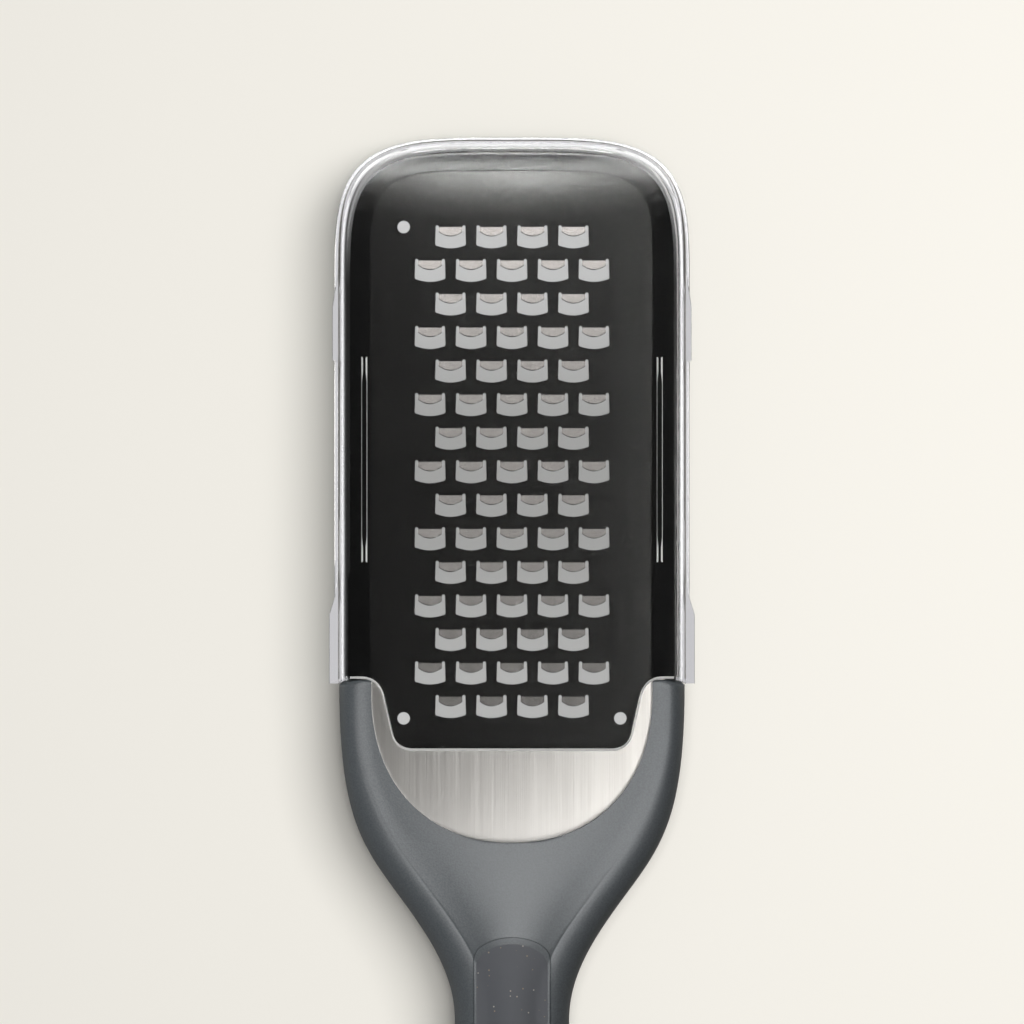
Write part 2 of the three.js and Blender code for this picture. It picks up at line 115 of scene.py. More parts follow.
# Angles of a turn in equal steps
def turns(steps, whole=math.pi / 2):
    return [whole * i / steps for i in range(steps + 1)]


# A rounded corner: distances from its two sides
def corner(radius, steps):
    return [(radius * (1 - math.cos(a)), radius * (1 - math.sin(a))) for a in turns(steps)]


def vertsOf(geom):
    return [item for item in geom if isinstance(item, bmesh.types.BMVert)]


def facesOf(geom):
    return [item for item in geom if isinstance(item, bmesh.types.BMFace)]


def edgesAt(verts):
    return list({edge for vert in verts for edge in vert.link_edges})


def facesAt(verts):
    return list({face for vert in verts for face in vert.link_faces})


def paint(verts, index):
    for face in facesAt(verts):
        face.material_index = index


def everything(bm):
    return bm.verts[:] + bm.edges[:] + bm.faces[:]


def merge(bm, dist=1e-4):
    bmesh.ops.remove_doubles(bm, verts=bm.verts[:], dist=dist)


def openEdges(bm):
    return [edge for edge in bm.edges if edge.is_boundary]


# Brings new points to level(point)
def setLevel(made, level):
    for vert in vertsOf(made):
        vert.co.z = level(vert.co)
    return made


# Closes a skin behind, at a level
def backing(bm, level):
    made = bmesh.ops.extrude_face_region(bm, geom=bm.faces[:], use_keep_orig=True)["geom"]
    return setLevel(made, level)


# Fills flat loops
def fillFlat(bm, edges, index=0):
    made = bmesh.ops.triangle_fill(bm, edges=edges, use_beauty=True, normal=(0, 0, 1))["geom"]
    for face in facesOf(made):
        face.material_index = index


# Copies one cell to all places, and moves it to the first
def repeatAt(bm, cell, places):
    for x, y in places[1:]:
        copy = bmesh.ops.duplicate(bm, geom=cell)["geom"]
        bmesh.ops.translate(bm, vec=(x, y, 0), verts=vertsOf(copy))
    bmesh.ops.translate(bm, vec=(*places[0], 0), verts=vertsOf(cell))


def addObject(name, data):
    made = bpy.data.objects.new(name, data)
    bpy.context.scene.collection.objects.link(made)
    return made


def addMesh(name, bm):
    mesh = bpy.data.meshes.new(name)
    bm.to_mesh(mesh)
    bm.free()
    return addObject(name, mesh)


def finishPiece(name, bm, finishes, body, nodes, sharpAngle=35):
    merge(bm)
    bmesh.ops.dissolve_degenerate(bm, dist=1e-5, edges=bm.edges[:])
    bmesh.ops.recalc_face_normals(bm, faces=bm.faces[:])
    for face in bm.faces:
        face.smooth = True
    for edge in bm.edges:
        if len(edge.link_faces) == 2:
            mixed = edge.link_faces[0].material_index != edge.link_faces[1].material_index
            edge.smooth = not mixed and edge.calc_face_angle(0) < math.radians(sharpAngle)
    bmesh.ops.scale(bm, vec=(0.001, 0.001, 0.001), verts=bm.verts[:])
    openCount = len(openEdges(bm))
    piece = addMesh(name, bm)
    mesh = piece.data
    for finish in finishes:
        mesh.materials.append(finish)
    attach(piece, body)
    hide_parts(*nodes)
    mesh.calc_loop_triangles()
    print("made", name, len(mesh.loop_triangles), "triangles,", openCount, "open edges")
    return piece


def arithmetic(operation, swapped=False):
    return lambda a, b: a.sum(operation, b, a) if swapped else a.sum(operation, a, b)


# One socket of a node tree, with arithmetic
class Wire:
    def __init__(self, finish, socket):
        self.finish = finish
        self.socket = socket

    def sum(self, operation, a, b):
        return self.finish.node("Math", {"operation": operation}, {0: a, 1: b})

    __add__, __radd__ = arithmetic("ADD"), arithmetic("ADD", True)
    __sub__, __rsub__ = arithmetic("SUBTRACT"), arithmetic("SUBTRACT", True)
    __mul__, __rmul__ = arithmetic("MULTIPLY"), arithmetic("MULTIPLY", True)

    def __abs__(self):
        return self.sum("ABSOLUTE", self, 0.0)


# A node tree, with one way to add any node to it
class Finish:
    def __init__(self, owner):
        owner.use_nodes = True
        self.owner = owner
        self.tree = owner.node_tree
        self.tree.nodes.clear()

    def node(self, kind, settings=None, sockets=None, out=0):
        made = self.tree.nodes.new("ShaderNode" + kind)
        for key, value in (settings or {}).items():
            setattr(made, key, value)
        for key, value in (sockets or {}).items():
            if isinstance(value, Wire):
                self.tree.links.new(value.socket, made.inputs[key])
            else:
                made.inputs[key].default_value = value
        return Wire(self, made.outputs[out])

    def place(self, scale=(1, 1, 1)):
        here = self.node("TexCoord", out="Object")
        return self.node("Mapping", {}, {"Vector": here, "Scale": scale})

    def axis(self, name):
        return self.node("SeparateXYZ", {}, {0: self.place()}, name)

    def ray(self, name):
        return self.node("LightPath", out=name)

    def noise(self, scale, detail=2.0, rough=0.5, at=(1, 1, 1)):
        return self.node("TexNoise", {}, {
            "Vector": self.place(at), "Scale": scale, "Detail": detail, "Roughness": rough})

    def span(self, value, low, high, newLow=0.0, newHigh=1.0):
        return self.node("MapRange", {"interpolation_type": "SMOOTHSTEP"}, {
            "Value": value, "From Min": low, "From Max": high, "To Min": newLow, "To Max": newHigh})

    def tint(self, amount, a, b):
        return self.node("Mix", {"data_type": "RGBA"}, {0: amount, 6: a, 7: b}, 2)

    def bump(self, height, strength, distance, under=None):
        sockets = {"Height": height, "Strength": strength, "Distance": distance}
        if under:
            sockets["Normal"] = under
        return self.node("Bump", {}, sockets)

    def choose(self, amount, a, b):
        return self.node("MixShader", {}, {0: amount, 1: a, 2: b})

    def output(self, shader, kind="OutputMaterial"):
        made = self.tree.nodes.new("ShaderNode" + kind)
        self.tree.links.new(shader.socket, made.inputs["Surface"])
        return self.owner

    def surface(self, sockets):
        return self.output(self.node("BsdfPrincipled", {}, sockets))


def newFinish(name):
    return Finish(bpy.data.materials.new(name))


def rgb(r, g, b):
    return (r, g, b, 1.0)


def grey(tone):
    return rgb(tone, tone, tone)


slateLook = {"colour": rgb(0.072, 0.083, 0.092), "pale": rgb(0.140, 0.156, 0.168), "roughness": 0.43}


# Moulded slate plastic: fine grain, faint mottling and a few pale scuffs
def slatePlastic():
    f = newFinish("slate_plastic")
    mottle = f.noise(45.0, 3.0)
    grain = f.noise(2600.0, 2.0, 0.6)
    scuffs = f.span(f.noise(90.0, 5.0, 0.7, (1.0, 0.25, 1.0)), 0.66, 0.8)
    wear = f.span(grain, 0.25, 0.75) * 0.5 + mottle * 0.2 + scuffs * 0.2
    colour = f.tint(wear, slateLook["colour"], slateLook["pale"])
    bump = f.bump(grain + mottle * 0.3, 0.3, 0.00007)
    return f.surface({
        "Base Color": colour, "Normal": bump, "IOR": 1.46,
        "Roughness": slateLook["roughness"] + (grain - 0.5) * 0.18 - scuffs * 0.06})


softLook = {"colour": rgb(0.088, 0.094, 0.107), "pale": rgb(0.114, 0.121, 0.136), "roughness": 0.72,
            "speck": rgb(0.36, 0.27, 0.20), "bright": rgb(0.62, 0.58, 0.52)}


# Soft-touch inlay: matt, slightly cloudy, with sparse specks
def softGrey():
    f = newFinish("soft_grey")
    cloud = f.noise(70.0, 4.0)
    grain = f.noise(3800.0, 2.0, 0.6)
    cell = {"Vector": f.place(), "Scale": 820.0, "Randomness": 1.0}
    near = f.node("TexVoronoi", {}, cell, "Distance")
    chance = f.node("TexVoronoi", {}, cell, "Color")
    pick = f.node("SeparateColor", {}, {0: chance})
    tone = f.node("SeparateColor", {}, {0: chance}, "Green")
    specks = (1 - f.span(near, 0.09, 0.20)) * f.span(pick, 0.66, 0.67)
    speck = f.tint(f.span(tone, 0.55, 0.95), softLook["speck"], softLook["bright"])
    colour = f.tint(specks * 0.8, f.tint(cloud, softLook["colour"], softLook["pale"]), speck)
    return f.surface({
        "Base Color": colour, "Roughness": softLook["roughness"] + (grain - 0.5) * 0.2,
        "Normal": f.bump(grain + cloud * 0.2, 0.3, 0.00007), "IOR": 1.42})


coatLook = {"colour": rgb(0.0020, 0.0018, 0.0016), "rub": rgb(0.009, 0.0088, 0.0083), "roughness": 0.21}
steelLook = {"colour": rgb(0.60, 0.592, 0.578), "dark": rgb(0.465, 0.452, 0.438), "roughness": 0.33,
             "camber": 0.60}  # how far the middle of the sheet stands up, per metre squared


# Streaks of a brushed sheet, all along the blade
def brushing(f):
    fine = f.noise(1.0, 3.0, 0.6, (3600.0, 30.0, 3600.0))
    broad = f.noise(1.0, 2.0, 0.5, (900.0, 6.0, 900.0))
    return fine * 0.75 + broad * 0.25


# The sheet is very slightly cambered across the blade
def camber(f):
    across = f.axis("X")
    return f.bump(across * across * (-1000 * steelLook["camber"]), 1.0, 0.001)


# Black coat over the toothed field: the brushing shows through, and the coat is thin in places
def blackCoat():
    f = newFinish("black_coat")
    streak = brushing(f)
    thin = f.span(f.noise(1.0, 4.0, 0.6, (900.0, 60.0, 900.0)), 0.62, 0.8)
    return f.surface({
        "Base Color": f.tint(thin * 0.5, coatLook["colour"], coatLook["rub"]),
        "Roughness": coatLook["roughness"] + (streak - 0.5) * 0.1,
        "Normal": f.bump(streak, 0.05, 0.00004, camber(f)), "IOR": 1.72})


# Bare brushed steel
def bareSteel():
    f = newFinish("bare_steel")
    streak = brushing(f)
    return f.surface({
        "Base Color": f.tint(streak, steelLook["dark"], steelLook["colour"]), "Metallic": 1.0,
        "Roughness": steelLook["roughness"] + (streak - 0.5) * 0.2,
        "Normal": f.bump(streak, 0.3, 0.00006, camber(f))})


toothLook = {"colour": rgb(0.60, 0.58, 0.565), "dark": rgb(0.44, 0.42, 0.405), "roughness": 0.20}


# Ground steel of the teeth
def toothSteel():
    f = newFinish("tooth_steel")
    streak = f.noise(1.0, 3.0, 0.6, (2400.0, 160.0, 400.0))
    stain = f.noise(420.0, 3.0)
    return f.surface({
        "Base Color": f.tint(streak * 0.5 + stain * 0.5, toothLook["dark"], toothLook["colour"]),
        "Metallic": 1.0, "Roughness": toothLook["roughness"] + (streak - 0.5) * 0.08,
        "Normal": f.bump(streak, 0.05, 0.00004)})


etchAndHighlightLook = {"colour": rgb(0.34, 0.335, 0.33), "dark": rgb(0.20, 0.195, 0.19), "roughness": 0.5}


# Bevel round each window: the coat is etched off it, and its pale, barely metallic grey is partly a
# painted highlight standing in for the light its edge catches
def etchedEdgeAndHighlight():
    f = newFinish("etched_edge_and_highlight")
    pit = f.noise(1500.0, 3.0, 0.6)
    return f.surface({
        "Base Color": f.tint(f.span(pit, 0.3, 0.6), etchAndHighlightLook["dark"], etchAndHighlightLook["colour"]),
        "Metallic": 0.1, "Roughness": etchAndHighlightLook["roughness"] + (pit - 0.5) * 0.2,
        "Normal": f.bump(pit, 0.2, 0.00004)})


glossLook = {"colour": rgb(0.0032, 0.0032, 0.0033), "hair": grey(0.012), "roughness": 0.15}


# Gloss black moulding with hair scratches
def blackGloss():
    f = newFinish("black_gloss")
    cloud = f.noise(120.0, 3.0)
    hairs = f.span(f.noise(1.0, 4.0, 0.7, (1900.0, 120.0, 1900.0)), 0.6, 0.75)
    return f.surface({
        "Base Color": f.tint(hairs * 0.3, glossLook["colour"], glossLook["hair"]),
        "Roughness": glossLook["roughness"] + (cloud - 0.5) * 0.08 + hairs * 0.06,
        "Normal": f.bump(cloud, 0.06, 0.0002), "IOR": 1.42})


rubberLook = {"colour": rgb(0.045, 0.046, 0.050), "worn": rgb(0.075, 0.076, 0.080), "roughness": 0.8}


def footRubber():
    f = newFinish("foot_rubber")
    grain = f.noise(2600.0, 3.0, 0.6)
    worn = f.span(f.noise(500.0, 3.0), 0.5, 0.75)
    return f.surface({
        "Base Color": f.tint(worn, rubberLook["colour"], rubberLook["worn"]),
        "Roughness": rubberLook["roughness"] + (grain - 0.5) * 0.2,
        "Normal": f.bump(grain, 0.35, 0.00008), "IOR": 1.45})


clearLook = {"tint": rgb(0.980, 0.988, 0.988), "faint": rgb(0.970, 0.982, 0.982), "roughness": 0.015,
             "lamp": rgb(0.94, 0.95, 0.95), "ior": 1.49}


# Clear moulded plastic that lets lamps through: walls with a little uneven gloss, a polished roof
def clearPlastic(name, polished):
    f = newFinish(name)
    cloud = f.noise(90.0, 3.0)
    glass = f.node("BsdfPrincipled", {}, {
        "Base Color": f.tint(cloud, clearLook["tint"], clearLook["faint"]),
        "Transmission Weight": 1.0, "IOR": clearLook["ior"],
        "Roughness": 0.0 if polished else clearLook["roughness"] + (cloud - 0.5) * 0.01})
    lamp = f.ray("Is Shadow Ray") + f.ray("Is Diffuse Ray")
    through = f.node("BsdfTransparent", {}, {"Color": clearLook["lamp"]})
    return f.output(f.choose(lamp, glass, through))


edgeHighlightLook = {"colour": rgb(0.93, 0.935, 0.93), "shade": rgb(0.80, 0.81, 0.81), "roughness": 0.32,
            "through": 0.35}


# Painted highlight: a whitish, partly opaque finish for the front chamfer and the rib sides of the clear
# moulding, standing in for the bright lines that light makes along these edges
def clearEdgePaintedHighlight():
    f = newFinish("clear_edge_painted_highlight")
    cloud = f.noise(400.0, 2.0)
    return f.surface({
        "Base Color": f.tint(cloud * 0.3, edgeHighlightLook["colour"], edgeHighlightLook["shade"]),
        "Transmission Weight": edgeHighlightLook["through"], "IOR": clearLook["ior"],
        "Roughness": edgeHighlightLook["roughness"] + (cloud - 0.5) * 0.1})


finishes = {
    "slate": slatePlastic(),
    "soft": softGrey(),
    "coat": blackCoat(),
    "steel": bareSteel(),
    "tooth": toothSteel(),
    "etchedAndHighlight": etchedEdgeAndHighlight(),
    "gloss": blackGloss(),
    "rubber": footRubber(),
    "clear": clearPlastic("clear_plastic", False),
    "clearRoof": clearPlastic("clear_roof", True),
    "clearEdgePaintedHighlight": clearEdgePaintedHighlight(),
}
print("finishes ready")

blade = {
    "half": 33.5,
    "tipY": 153.0,
    "tipDepth": 25.0,
    "tipPower": 5.0,
    "tangDepth": 39.0,
    "tangPower": 2.2,
    "firstRootY": 138.0,
    "rows": 15,
    "rowPitch": 7.37,
    "columnPitch": 9.0,
    "longRow": 5,
    "windowTop": 3.23,  # half-widths of a window
    "windowFoot": 3.33,
    "windowLow": 4.08,
    "windowSag": 0.56,
    "windowCorner": 0.38,
    "slotRise": 0.35,  # slots beside the root of a tooth
    "bevel": 0.08,  # etched border of a window
    "bevelDrop": 0.05,
    "toothHalf": 2.6,
    "toothStraight": 1.1,
    "toothReach": 2.1,
    "toothRise": 1.1,
    "toothThickness": 0.42,
    "grind": 0.12,  # the free edge of a tooth is ground down
    "grindRun": 0.17,
    "toothRoot": 0.12,  # how far a tooth starts inside the sheet
    "pinRadius": 1.375,
    "pinX": 23.8,
    "pinDrop": 4.75,  # from the last row's roots down to the lower holes
    "coatGap": 0.3,  # the coat ends just short of the tongue's edge
    "dipStep": 1.45,  # between the lines that let the tip dip
}


def toothPlaces():
    places = []
    for row in range(blade["rows"]):
        count = blade["longRow"] if row % 2 else blade["longRow"] - 1
        for i in range(count):
            x = (i - (count - 1) / 2) * blade["columnPitch"]
            places.append((x, blade["firstRootY"] - row * blade["rowPitch"]))
    return places


def arcPoints(centre, radius, start, end, steps):
    angles = [math.radians(lerp(start, end, i / steps)) for i in range(steps + 1)]
    return [(centre[0] + radius * math.cos(a), centre[1] + radius * math.sin(a)) for a in angles]


# Edge of a window from the left slot, round the bottom, to the right slot
def windowEdge():
    top, foot, low = blade["windowTop"], blade["windowFoot"], blade["windowLow"]
    bend = blade["windowCorner"]
    slot = (top - blade["toothHalf"]) / 2
    left = arcPoints((-top + slot, blade["slotRise"] - slot), slot, 0, 180, 6)
    left += arcPoints((-foot + bend, -low + bend), bend, 180, 265, 6)
    for i in range(1, 5):
        x = lerp(-foot + bend, 0, i / 5)
        left.append((x, -low - blade["windowSag"] * (1 - (x / (foot - bend)) ** 2)))
    middle = [(0.0, -low - blade["windowSag"])]
    return left + middle + [(-x, y) for x, y in reversed(left)]


# Moves a line of points to its left; amount(i, normal) says how far
def beside(points, amount):
    out = []
    for i, (x, y) in enumerate(points):
        ax, ay = points[max(0, i - 1)]
        bx, by = points[min(len(points) - 1, i + 1)]
        length = math.hypot(bx - ax, by - ay)
        normal = ((ay - by) / length, (bx - ax) / length)
        reach = amount(i, normal)
        out.append((x + normal[0] * reach, y + normal[1] * reach))
    return out


# Tongue of the cover seen from above, from its left root to its right root; the black coat ends under it
tongue = {"endY": 23.0, "endHalf": 25.6, "rootHalf": 29.2, "corner": 4.0}


def tongueEdge():
    low, high = tongue["endY"], tool["roofY"]
    end, root, bend = tongue["endHalf"], tongue["rootHalf"], tongue["corner"]
    run = (root - end) / (high - low)
    right = [(lerp(0, end - bend, i / 8), low) for i in range(8)]
    bends = [((end - bend, low), (end, low), (end + run * bend, low + bend)),
             ((root - run * bend, high - bend), (root, high), (root + bend, high))]
    for a, b, c in bends:
        for i in range(13):
            t, s = i / 12, 1 - i / 12
            right.append(tuple(a[k] * s ** 2 + 2 * b[k] * t * s + c[k] * t * t for k in (0, 1)))
    return [(-x, y) for x, y in reversed(right[1:])] + right


def makeBlade():
    bm = bmesh.new()
    coat, etchedAndHighlight, tooth, steel = range(4)
    top = tool["bladeTop"]
    # one window: its bevel, etched and carrying a painted highlight, and the loop that the coat stops at
    inner = windowEdge()
    ends = len(inner) - 1
    outer = beside(inner, lambda i, normal: -blade["bevel"] * min(1.0, min(i, ends - i) / 3))
    innerVerts, innerEdges = chain(bm, [(x, y, top - blade["bevelDrop"]) for x, y in inner])
    outerVerts, outerEdges = chain(bm, [(x, y, top) for x, y in outer])
    innerVerts[0].co.z = innerVerts[-1].co.z = top
    bmesh.ops.bridge_loops(bm, edges=innerEdges + outerEdges)
    root = [bm.verts.new((side * blade["toothHalf"], 0, top)) for side in (-1, 1)]
    joined(bm, [outerVerts[0], *root, outerVerts[-1]])
    merge(bm, 1e-5)
    places = toothPlaces()
    repeatAt(bm, everything(bm), places)
    for face in bm.faces:
        face.material_index = etchedAndHighlight
    hole = [edge for edge in bm.edges if edge.is_wire]
    ringEdges = [edge for edge in openEdges(bm) if all(vert.co.z > top - 1e-4 for vert in edge.verts)]
    # registration holes
    lastY = blade["firstRootY"] - (blade["rows"] - 1) * blade["rowPitch"] - blade["pinDrop"]
    for x, y in ((-blade["pinX"], blade["firstRootY"]), (-blade["pinX"], lastY), (blade["pinX"], lastY)):
        verts = bmesh.ops.create_circle(bm, segments=28, radius=blade["pinRadius"])["verts"]
        bmesh.ops.translate(bm, vec=(x, y, top), verts=verts)
        hole += edgesAt(verts)
    # coated field, down to the edge of the cover's tongue
    half, foot = blade["half"], tool["roofY"]
    arch = [squircle(half, blade["tipDepth"], blade["tipPower"], a) for a in turns(64, math.pi)]
    field = [(x, y + blade["tipY"] - blade["tipDepth"]) for x, y in arch]
    field = [(half, foot), *field, (-half, foot)]
    fieldVerts, fieldEdges = chain(bm, [(x, y, top) for x, y in field])
    coatEnd = beside(tongueEdge(), lambda i, normal: blade["coatGap"])
    lip = [bm.verts.new((x, y, top)) for x, y in coatEnd]
    lipEdges = joined(bm, [fieldVerts[-1], *lip, fieldVerts[0]])
    fillFlat(bm, fieldEdges + lipEdges + hole + ringEdges, coat)
    # bare steel below it, with the tang inside the handle
    tang = [squircle(half, blade["tangDepth"], blade["tangPower"], a) for a in turns(48, math.pi)]
    tangVerts = [bm.verts.new((-x, tool["bayCentreY"] - y, top)) for x, y in tang]
    fillFlat(bm, joined(bm, [fieldVerts[-1], *tangVerts, fieldVerts[0]]) + lipEdges, steel)
    # lines across the tip, so that it can dip
    for i in range(9):
        bmesh.ops.bisect_plane(bm, geom=everything(bm), dist=1e-4, plane_no=(0, 1, 0),
                               plane_co=(0, tool["dipY"] + blade["dipStep"] * i, 0))
    bmesh.ops.recalc_face_normals(bm, faces=bm.faces[:])
    for face in facesOf(backing(bm, lambda point: top - tool["bladeThickness"])):
        if face.material_index == etchedAndHighlight:
            face.material_index = coat
    for vert in bm.verts:
        vert.co.z -= dip(vert.co.y)
    # teeth: a flat ramp out of the sheet, with a ground edge that takes the black coat finish as painted
    # shade
    columns, rows = 16, 6

    def toothPoint(i, j):
        across = -1 + 2 * i / columns
        straight, full, atEdge = blade["toothStraight"], blade["toothReach"], j == rows
        reach = straight + (full - straight) * (1 - across * across)
        run = reach if atEdge else lerp(-blade["toothRoot"], reach - blade["grindRun"], j / (rows - 1))
        rise = blade["toothRise"] * run / full - (blade["grind"] if atEdge else 0.0)
        return Vector((blade["toothHalf"] * across, -run, top + rise))

    net = netPiece(bm, columns, rows, toothPoint)
    paint(net.values(), tooth)
    # painted shade: the ground edge faces take the black coat finish, for the dark line along each
    # tooth's free edge
    paint([net[(i, rows)] for i in range(columns + 1)], coat)
    under = bmesh.ops.extrude_face_region(bm, geom=facesAt(net.values()), use_keep_orig=True)
    lower = vertsOf(under["geom"])
    bmesh.ops.translate(bm, vec=(0, 0, -blade["toothThickness"]), verts=lower)
    verts = list(net.values()) + lower
    repeatAt(bm, verts + edgesAt(verts) + facesAt(verts), places)
    looks = [finishes[key] for key in ("coat", "etchedAndHighlight", "tooth", "steel")]
    return finishPiece("blade_sheet", bm, looks, "grater", ["blade"], 20)


rim = {
    "tipDepth": 32.0,
    "tipPower": 4.0,
    "lipDepth": 25.0,
    "lipPower": 5.0,
    "bottom": 4.5,
    "top": 16.2,
    "foot": [(0.8, 0.0), (0.25, 0.2), (0.0, 0.8)],  # lower edge: inset, height above the bottom
    "waist": 10.0,
    "round": 0.7,
    "lipRound": 0.12,
    "lipLine": 0.02,  # a line just outside the lip's rounding keeps its shading flat
    "ledge": 13.8,  # underside of the lip
    "barTipY": 145.0,
    "barRound": 0.4,
    "dipShare": 0.9,  # the top follows the sheet's dip
    "tipDrop": 1.0,  # and comes down gently towards the tip
    "dropRun": (60, 148),
    "legSteps": 10,
    "tipSteps": 72,
}


# Outline of the head at one step of its path: right side up, round the tip, left side down
def headPoint(step, half, tip, depth, power):
    legSteps, tipSteps, foot = rim["legSteps"], rim["tipSteps"], tool["roofY"]
    if step <= legSteps:
        return half, lerp(foot, tip - depth, step / legSteps)
    if step >= legSteps + tipSteps:
        return -half, lerp(tip - depth, foot, (step - legSteps - tipSteps) / legSteps)
    x, y = squircle(half, depth, power, math.pi * (step - legSteps) / tipSteps)
    return x, y + tip - depth


def makeRim():
    bm = bmesh.new()
    outer = (tool["rimHalf"], tool["rimTipY"], rim["tipDepth"], rim["tipPower"])
    lip = (tool["lipHalf"], tool["lipTipY"], rim["lipDepth"], rim["lipPower"])
    width = tool["rimHalf"] - tool["lipHalf"]
    top, low = rim["top"], rim["bottom"]
    bend, small = rim["round"], rim["lipRound"]
    levels = [(inset, low + rise) for inset, rise in rim["foot"]] + [(0.0, rim["waist"])]
    levels += [(a, top - b) for a, b in corner(bend, 8)]
    levels += [(lerp(bend, width - small - rim["lipLine"], i / 7), top) for i in range(1, 8)]
    levels += [(width - b, top - a) for a, b in corner(small, 5)]
    levels += [(width, rim["ledge"]), ("well", rim["ledge"]), ("well", low + rim["barRound"]),
               ("wellIn", low), levels[0]]

    def rimPoint(i, j):
        inset, height = levels[i]
        well = (tool["lipHalf"], rim["barTipY"], rim["lipDepth"], rim["lipPower"])
        if inset == "well":
            size = well
        elif inset == "wellIn":
            size = (well[0] + rim["barRound"], well[1] + rim["barRound"], *well[2:])
        else:
            size = [lerp(a, b, inset / width) for a, b in zip(outer, lip)]
        x, y = headPoint(j, *size)
        if height > rim["ledge"]:
            height -= dip(y) * rim["dipShare"] + ease(y, *rim["dropRun"], 0.0, rim["tipDrop"])
        return Vector((x, y, height))

    netPiece(bm, len(levels) - 1, 2 * rim["legSteps"] + rim["tipSteps"], rimPoint)
    merge(bm)
    bmesh.ops.holes_fill(bm, edges=openEdges(bm), sides=0)
    return finishPiece("rim_band", bm, [finishes["gloss"]], "grater", ["blade_rim"], 40)


foot = {"length": 14.0, "width": 5.5, "x": 18.0, "y": 150.35, "top": 5.7, "round": 0.6}


def makeFoot(side, name, node):
    bm = bmesh.new()
    verts = bmesh.ops.create_circle(bm, segments=56, radius=foot["width"] / 2, cap_ends=True)["verts"]
    spread = (foot["length"] - foot["width"]) / 2
    for vert in verts:
        vert.co.x += math.copysign(spread, vert.co.x)
    backing(bm, lambda point: foot["top"])
    rims = [edge for edge in bm.edges if edge.calc_face_angle(0) > 1]
    bmesh.ops.bevel(bm, geom=rims, offset=foot["round"], offset_type="OFFSET", affect="EDGES",
                    segments=4, profile=0.5, material=-1)
    bmesh.ops.translate(bm, vec=(side * foot["x"], foot["y"], 0), verts=bm.verts[:])
    return finishPiece(name, bm, [finishes["rubber"]], "grater", [node])


handle = {
    "end": -0.9,  # ends of the arms, just inside the cover's mouth
    "endHalf": 36.6,
    "bends": [((0.3, 38.1), (30.0, 38.1), (36.0, 32.89), (47.4, 24.5)),
              ((47.4, 24.5), (56.4, 17.88), (64.5, 12.6), (74.5, 12.6)),
              ((74.5, 12.6), (104.5, 12.6), (147.1, 14.0), (177.1, 14.0))],
    "heelStart": 177.1,
    "heelRound": 18.0,
    "heelPower": 2.4,
    "gripHalf": 14.0,
    "neckHalf": 12.6,
    "neck": 74.5,
    "bayCentre": 1.8,
    "parting": 9.0,
    "edgeRise": 0.15,  # least thickness of a shell at the parting line
    "armTop": 16.6,
    "gripTop": 19.4,
    "armCrown": 0.5,
    "gripCrown": 1.8,
    "armBand": 3.9,  # side wall seen from above
    "neckBand": 8.0,
    "gripBand": 6.8,
    "armRun": (10, 45),  # the band widens here, from the arms to the neck
    "neckRun": (55, 86),  # and narrows here, to the grip
    "bandPower": 2.4,
    "bandShare": 0.9,  # most of the half-width that a side wall takes up
    "bend": 0.7,  # close rows on both sides of the shoulder
    "dish": 0.34,  # the top sinks a little inside its edge
    "dishRun": 1.9,
    "dishReach": 8.0,
    "dishEnd": (50, 80),
    "edgeRound": 0.05,
    "endRound": 0.5,
    "holeRound": 0.9,
    "crescent": (30.9, 33.0, 2.2),  # half-width, depth and fullness of the bays
    "tray": (30.9, 14.0, 2.5),
    "trayRound": 0.5,
    "underArm": 4.5,  # height of the arms' underside, which comes down to the floor at the grip
    "underRun": (20, 105),
    "underEnd": 0.4,
    "belly": 4.5,
    "bellyPower": 2.6,
    "spread": 1.6,  # rows of the underside draw together towards the bay
    "clampGap": 0.3,  # between the lower shell and the sheet
    "rowPitch": 1.4,
    "holeAlong": 179.6,
    "holeHalf": 3.5,
    "holeStraight": 2.5,
}


def bendPoint(bend, t):
    s = 1 - t
    return tuple(a * s ** 3 + 3 * b * s * s * t + 3 * c * s * t * t + d * t ** 3
                 for a, b, c, d in zip(*bend))


outlineTable = [bendPoint(bend, i / 120) for bend in handle["bends"] for i in range(121)]


# Half-width of the handle at a distance from the cover's mouth, and how deep the rounded heel still is
def halfAt(along):
    first = outlineTable[0]
    if along < first[0]:
        return lerp(handle["endHalf"], first[1], (along - handle["end"]) / (first[0] - handle["end"]))
    if along > handle["heelStart"]:
        reach = min(1.0, (along - handle["heelStart"]) / handle["heelRound"])
        power = handle["heelPower"]
        return handle["gripHalf"] * max(0.0, 1 - reach ** power) ** (1 / power)
    for (a, low), (b, high) in zip(outlineTable, outlineTable[1:]):
        if a <= along <= b and b > a:
            return lerp(low, high, (along - a) / (b - a))
    return outlineTable[-1][1]


def depthAt(along):
    reach = max(0.0, min(1.0, (along - handle["heelStart"]) / handle["heelRound"]))
    return max(0.0, 1 - reach ** 6) ** (1 / 3)


def bandAt(along):
    band = ease(along, *handle["armRun"], handle["armBand"], handle["neckBand"])
    band = ease(along, *handle["neckRun"], band, handle["gripBand"])
    return min(band, halfAt(along) * handle["bandShare"])


def rounding(distance, radius):
    if distance >= radius:
        return 0.0
    return radius - math.sqrt(max(0.0, radius ** 2 - (radius - max(0.0, distance)) ** 2))


# Rough distance outside a bay's curved edge
def bayGap(x, along, bay):
    half, depth, power = bay
    down = max(0.0, along - handle["bayCentre"])
    a, b = abs(x) / half, down / depth
    level = (a ** power + b ** power) ** (1 / power)
    slope = math.hypot(a ** (power - 1) / half, b ** (power - 1) / depth)
    slope /= max(1e-6, level ** (power - 1))
    return (level - 1) / max(1e-6, slope)


def holeGap(x, along):
    down = max(0.0, abs(along - handle["holeAlong"]) - handle["holeStraight"])
    return math.hypot(x, down) - handle["holeHalf"]


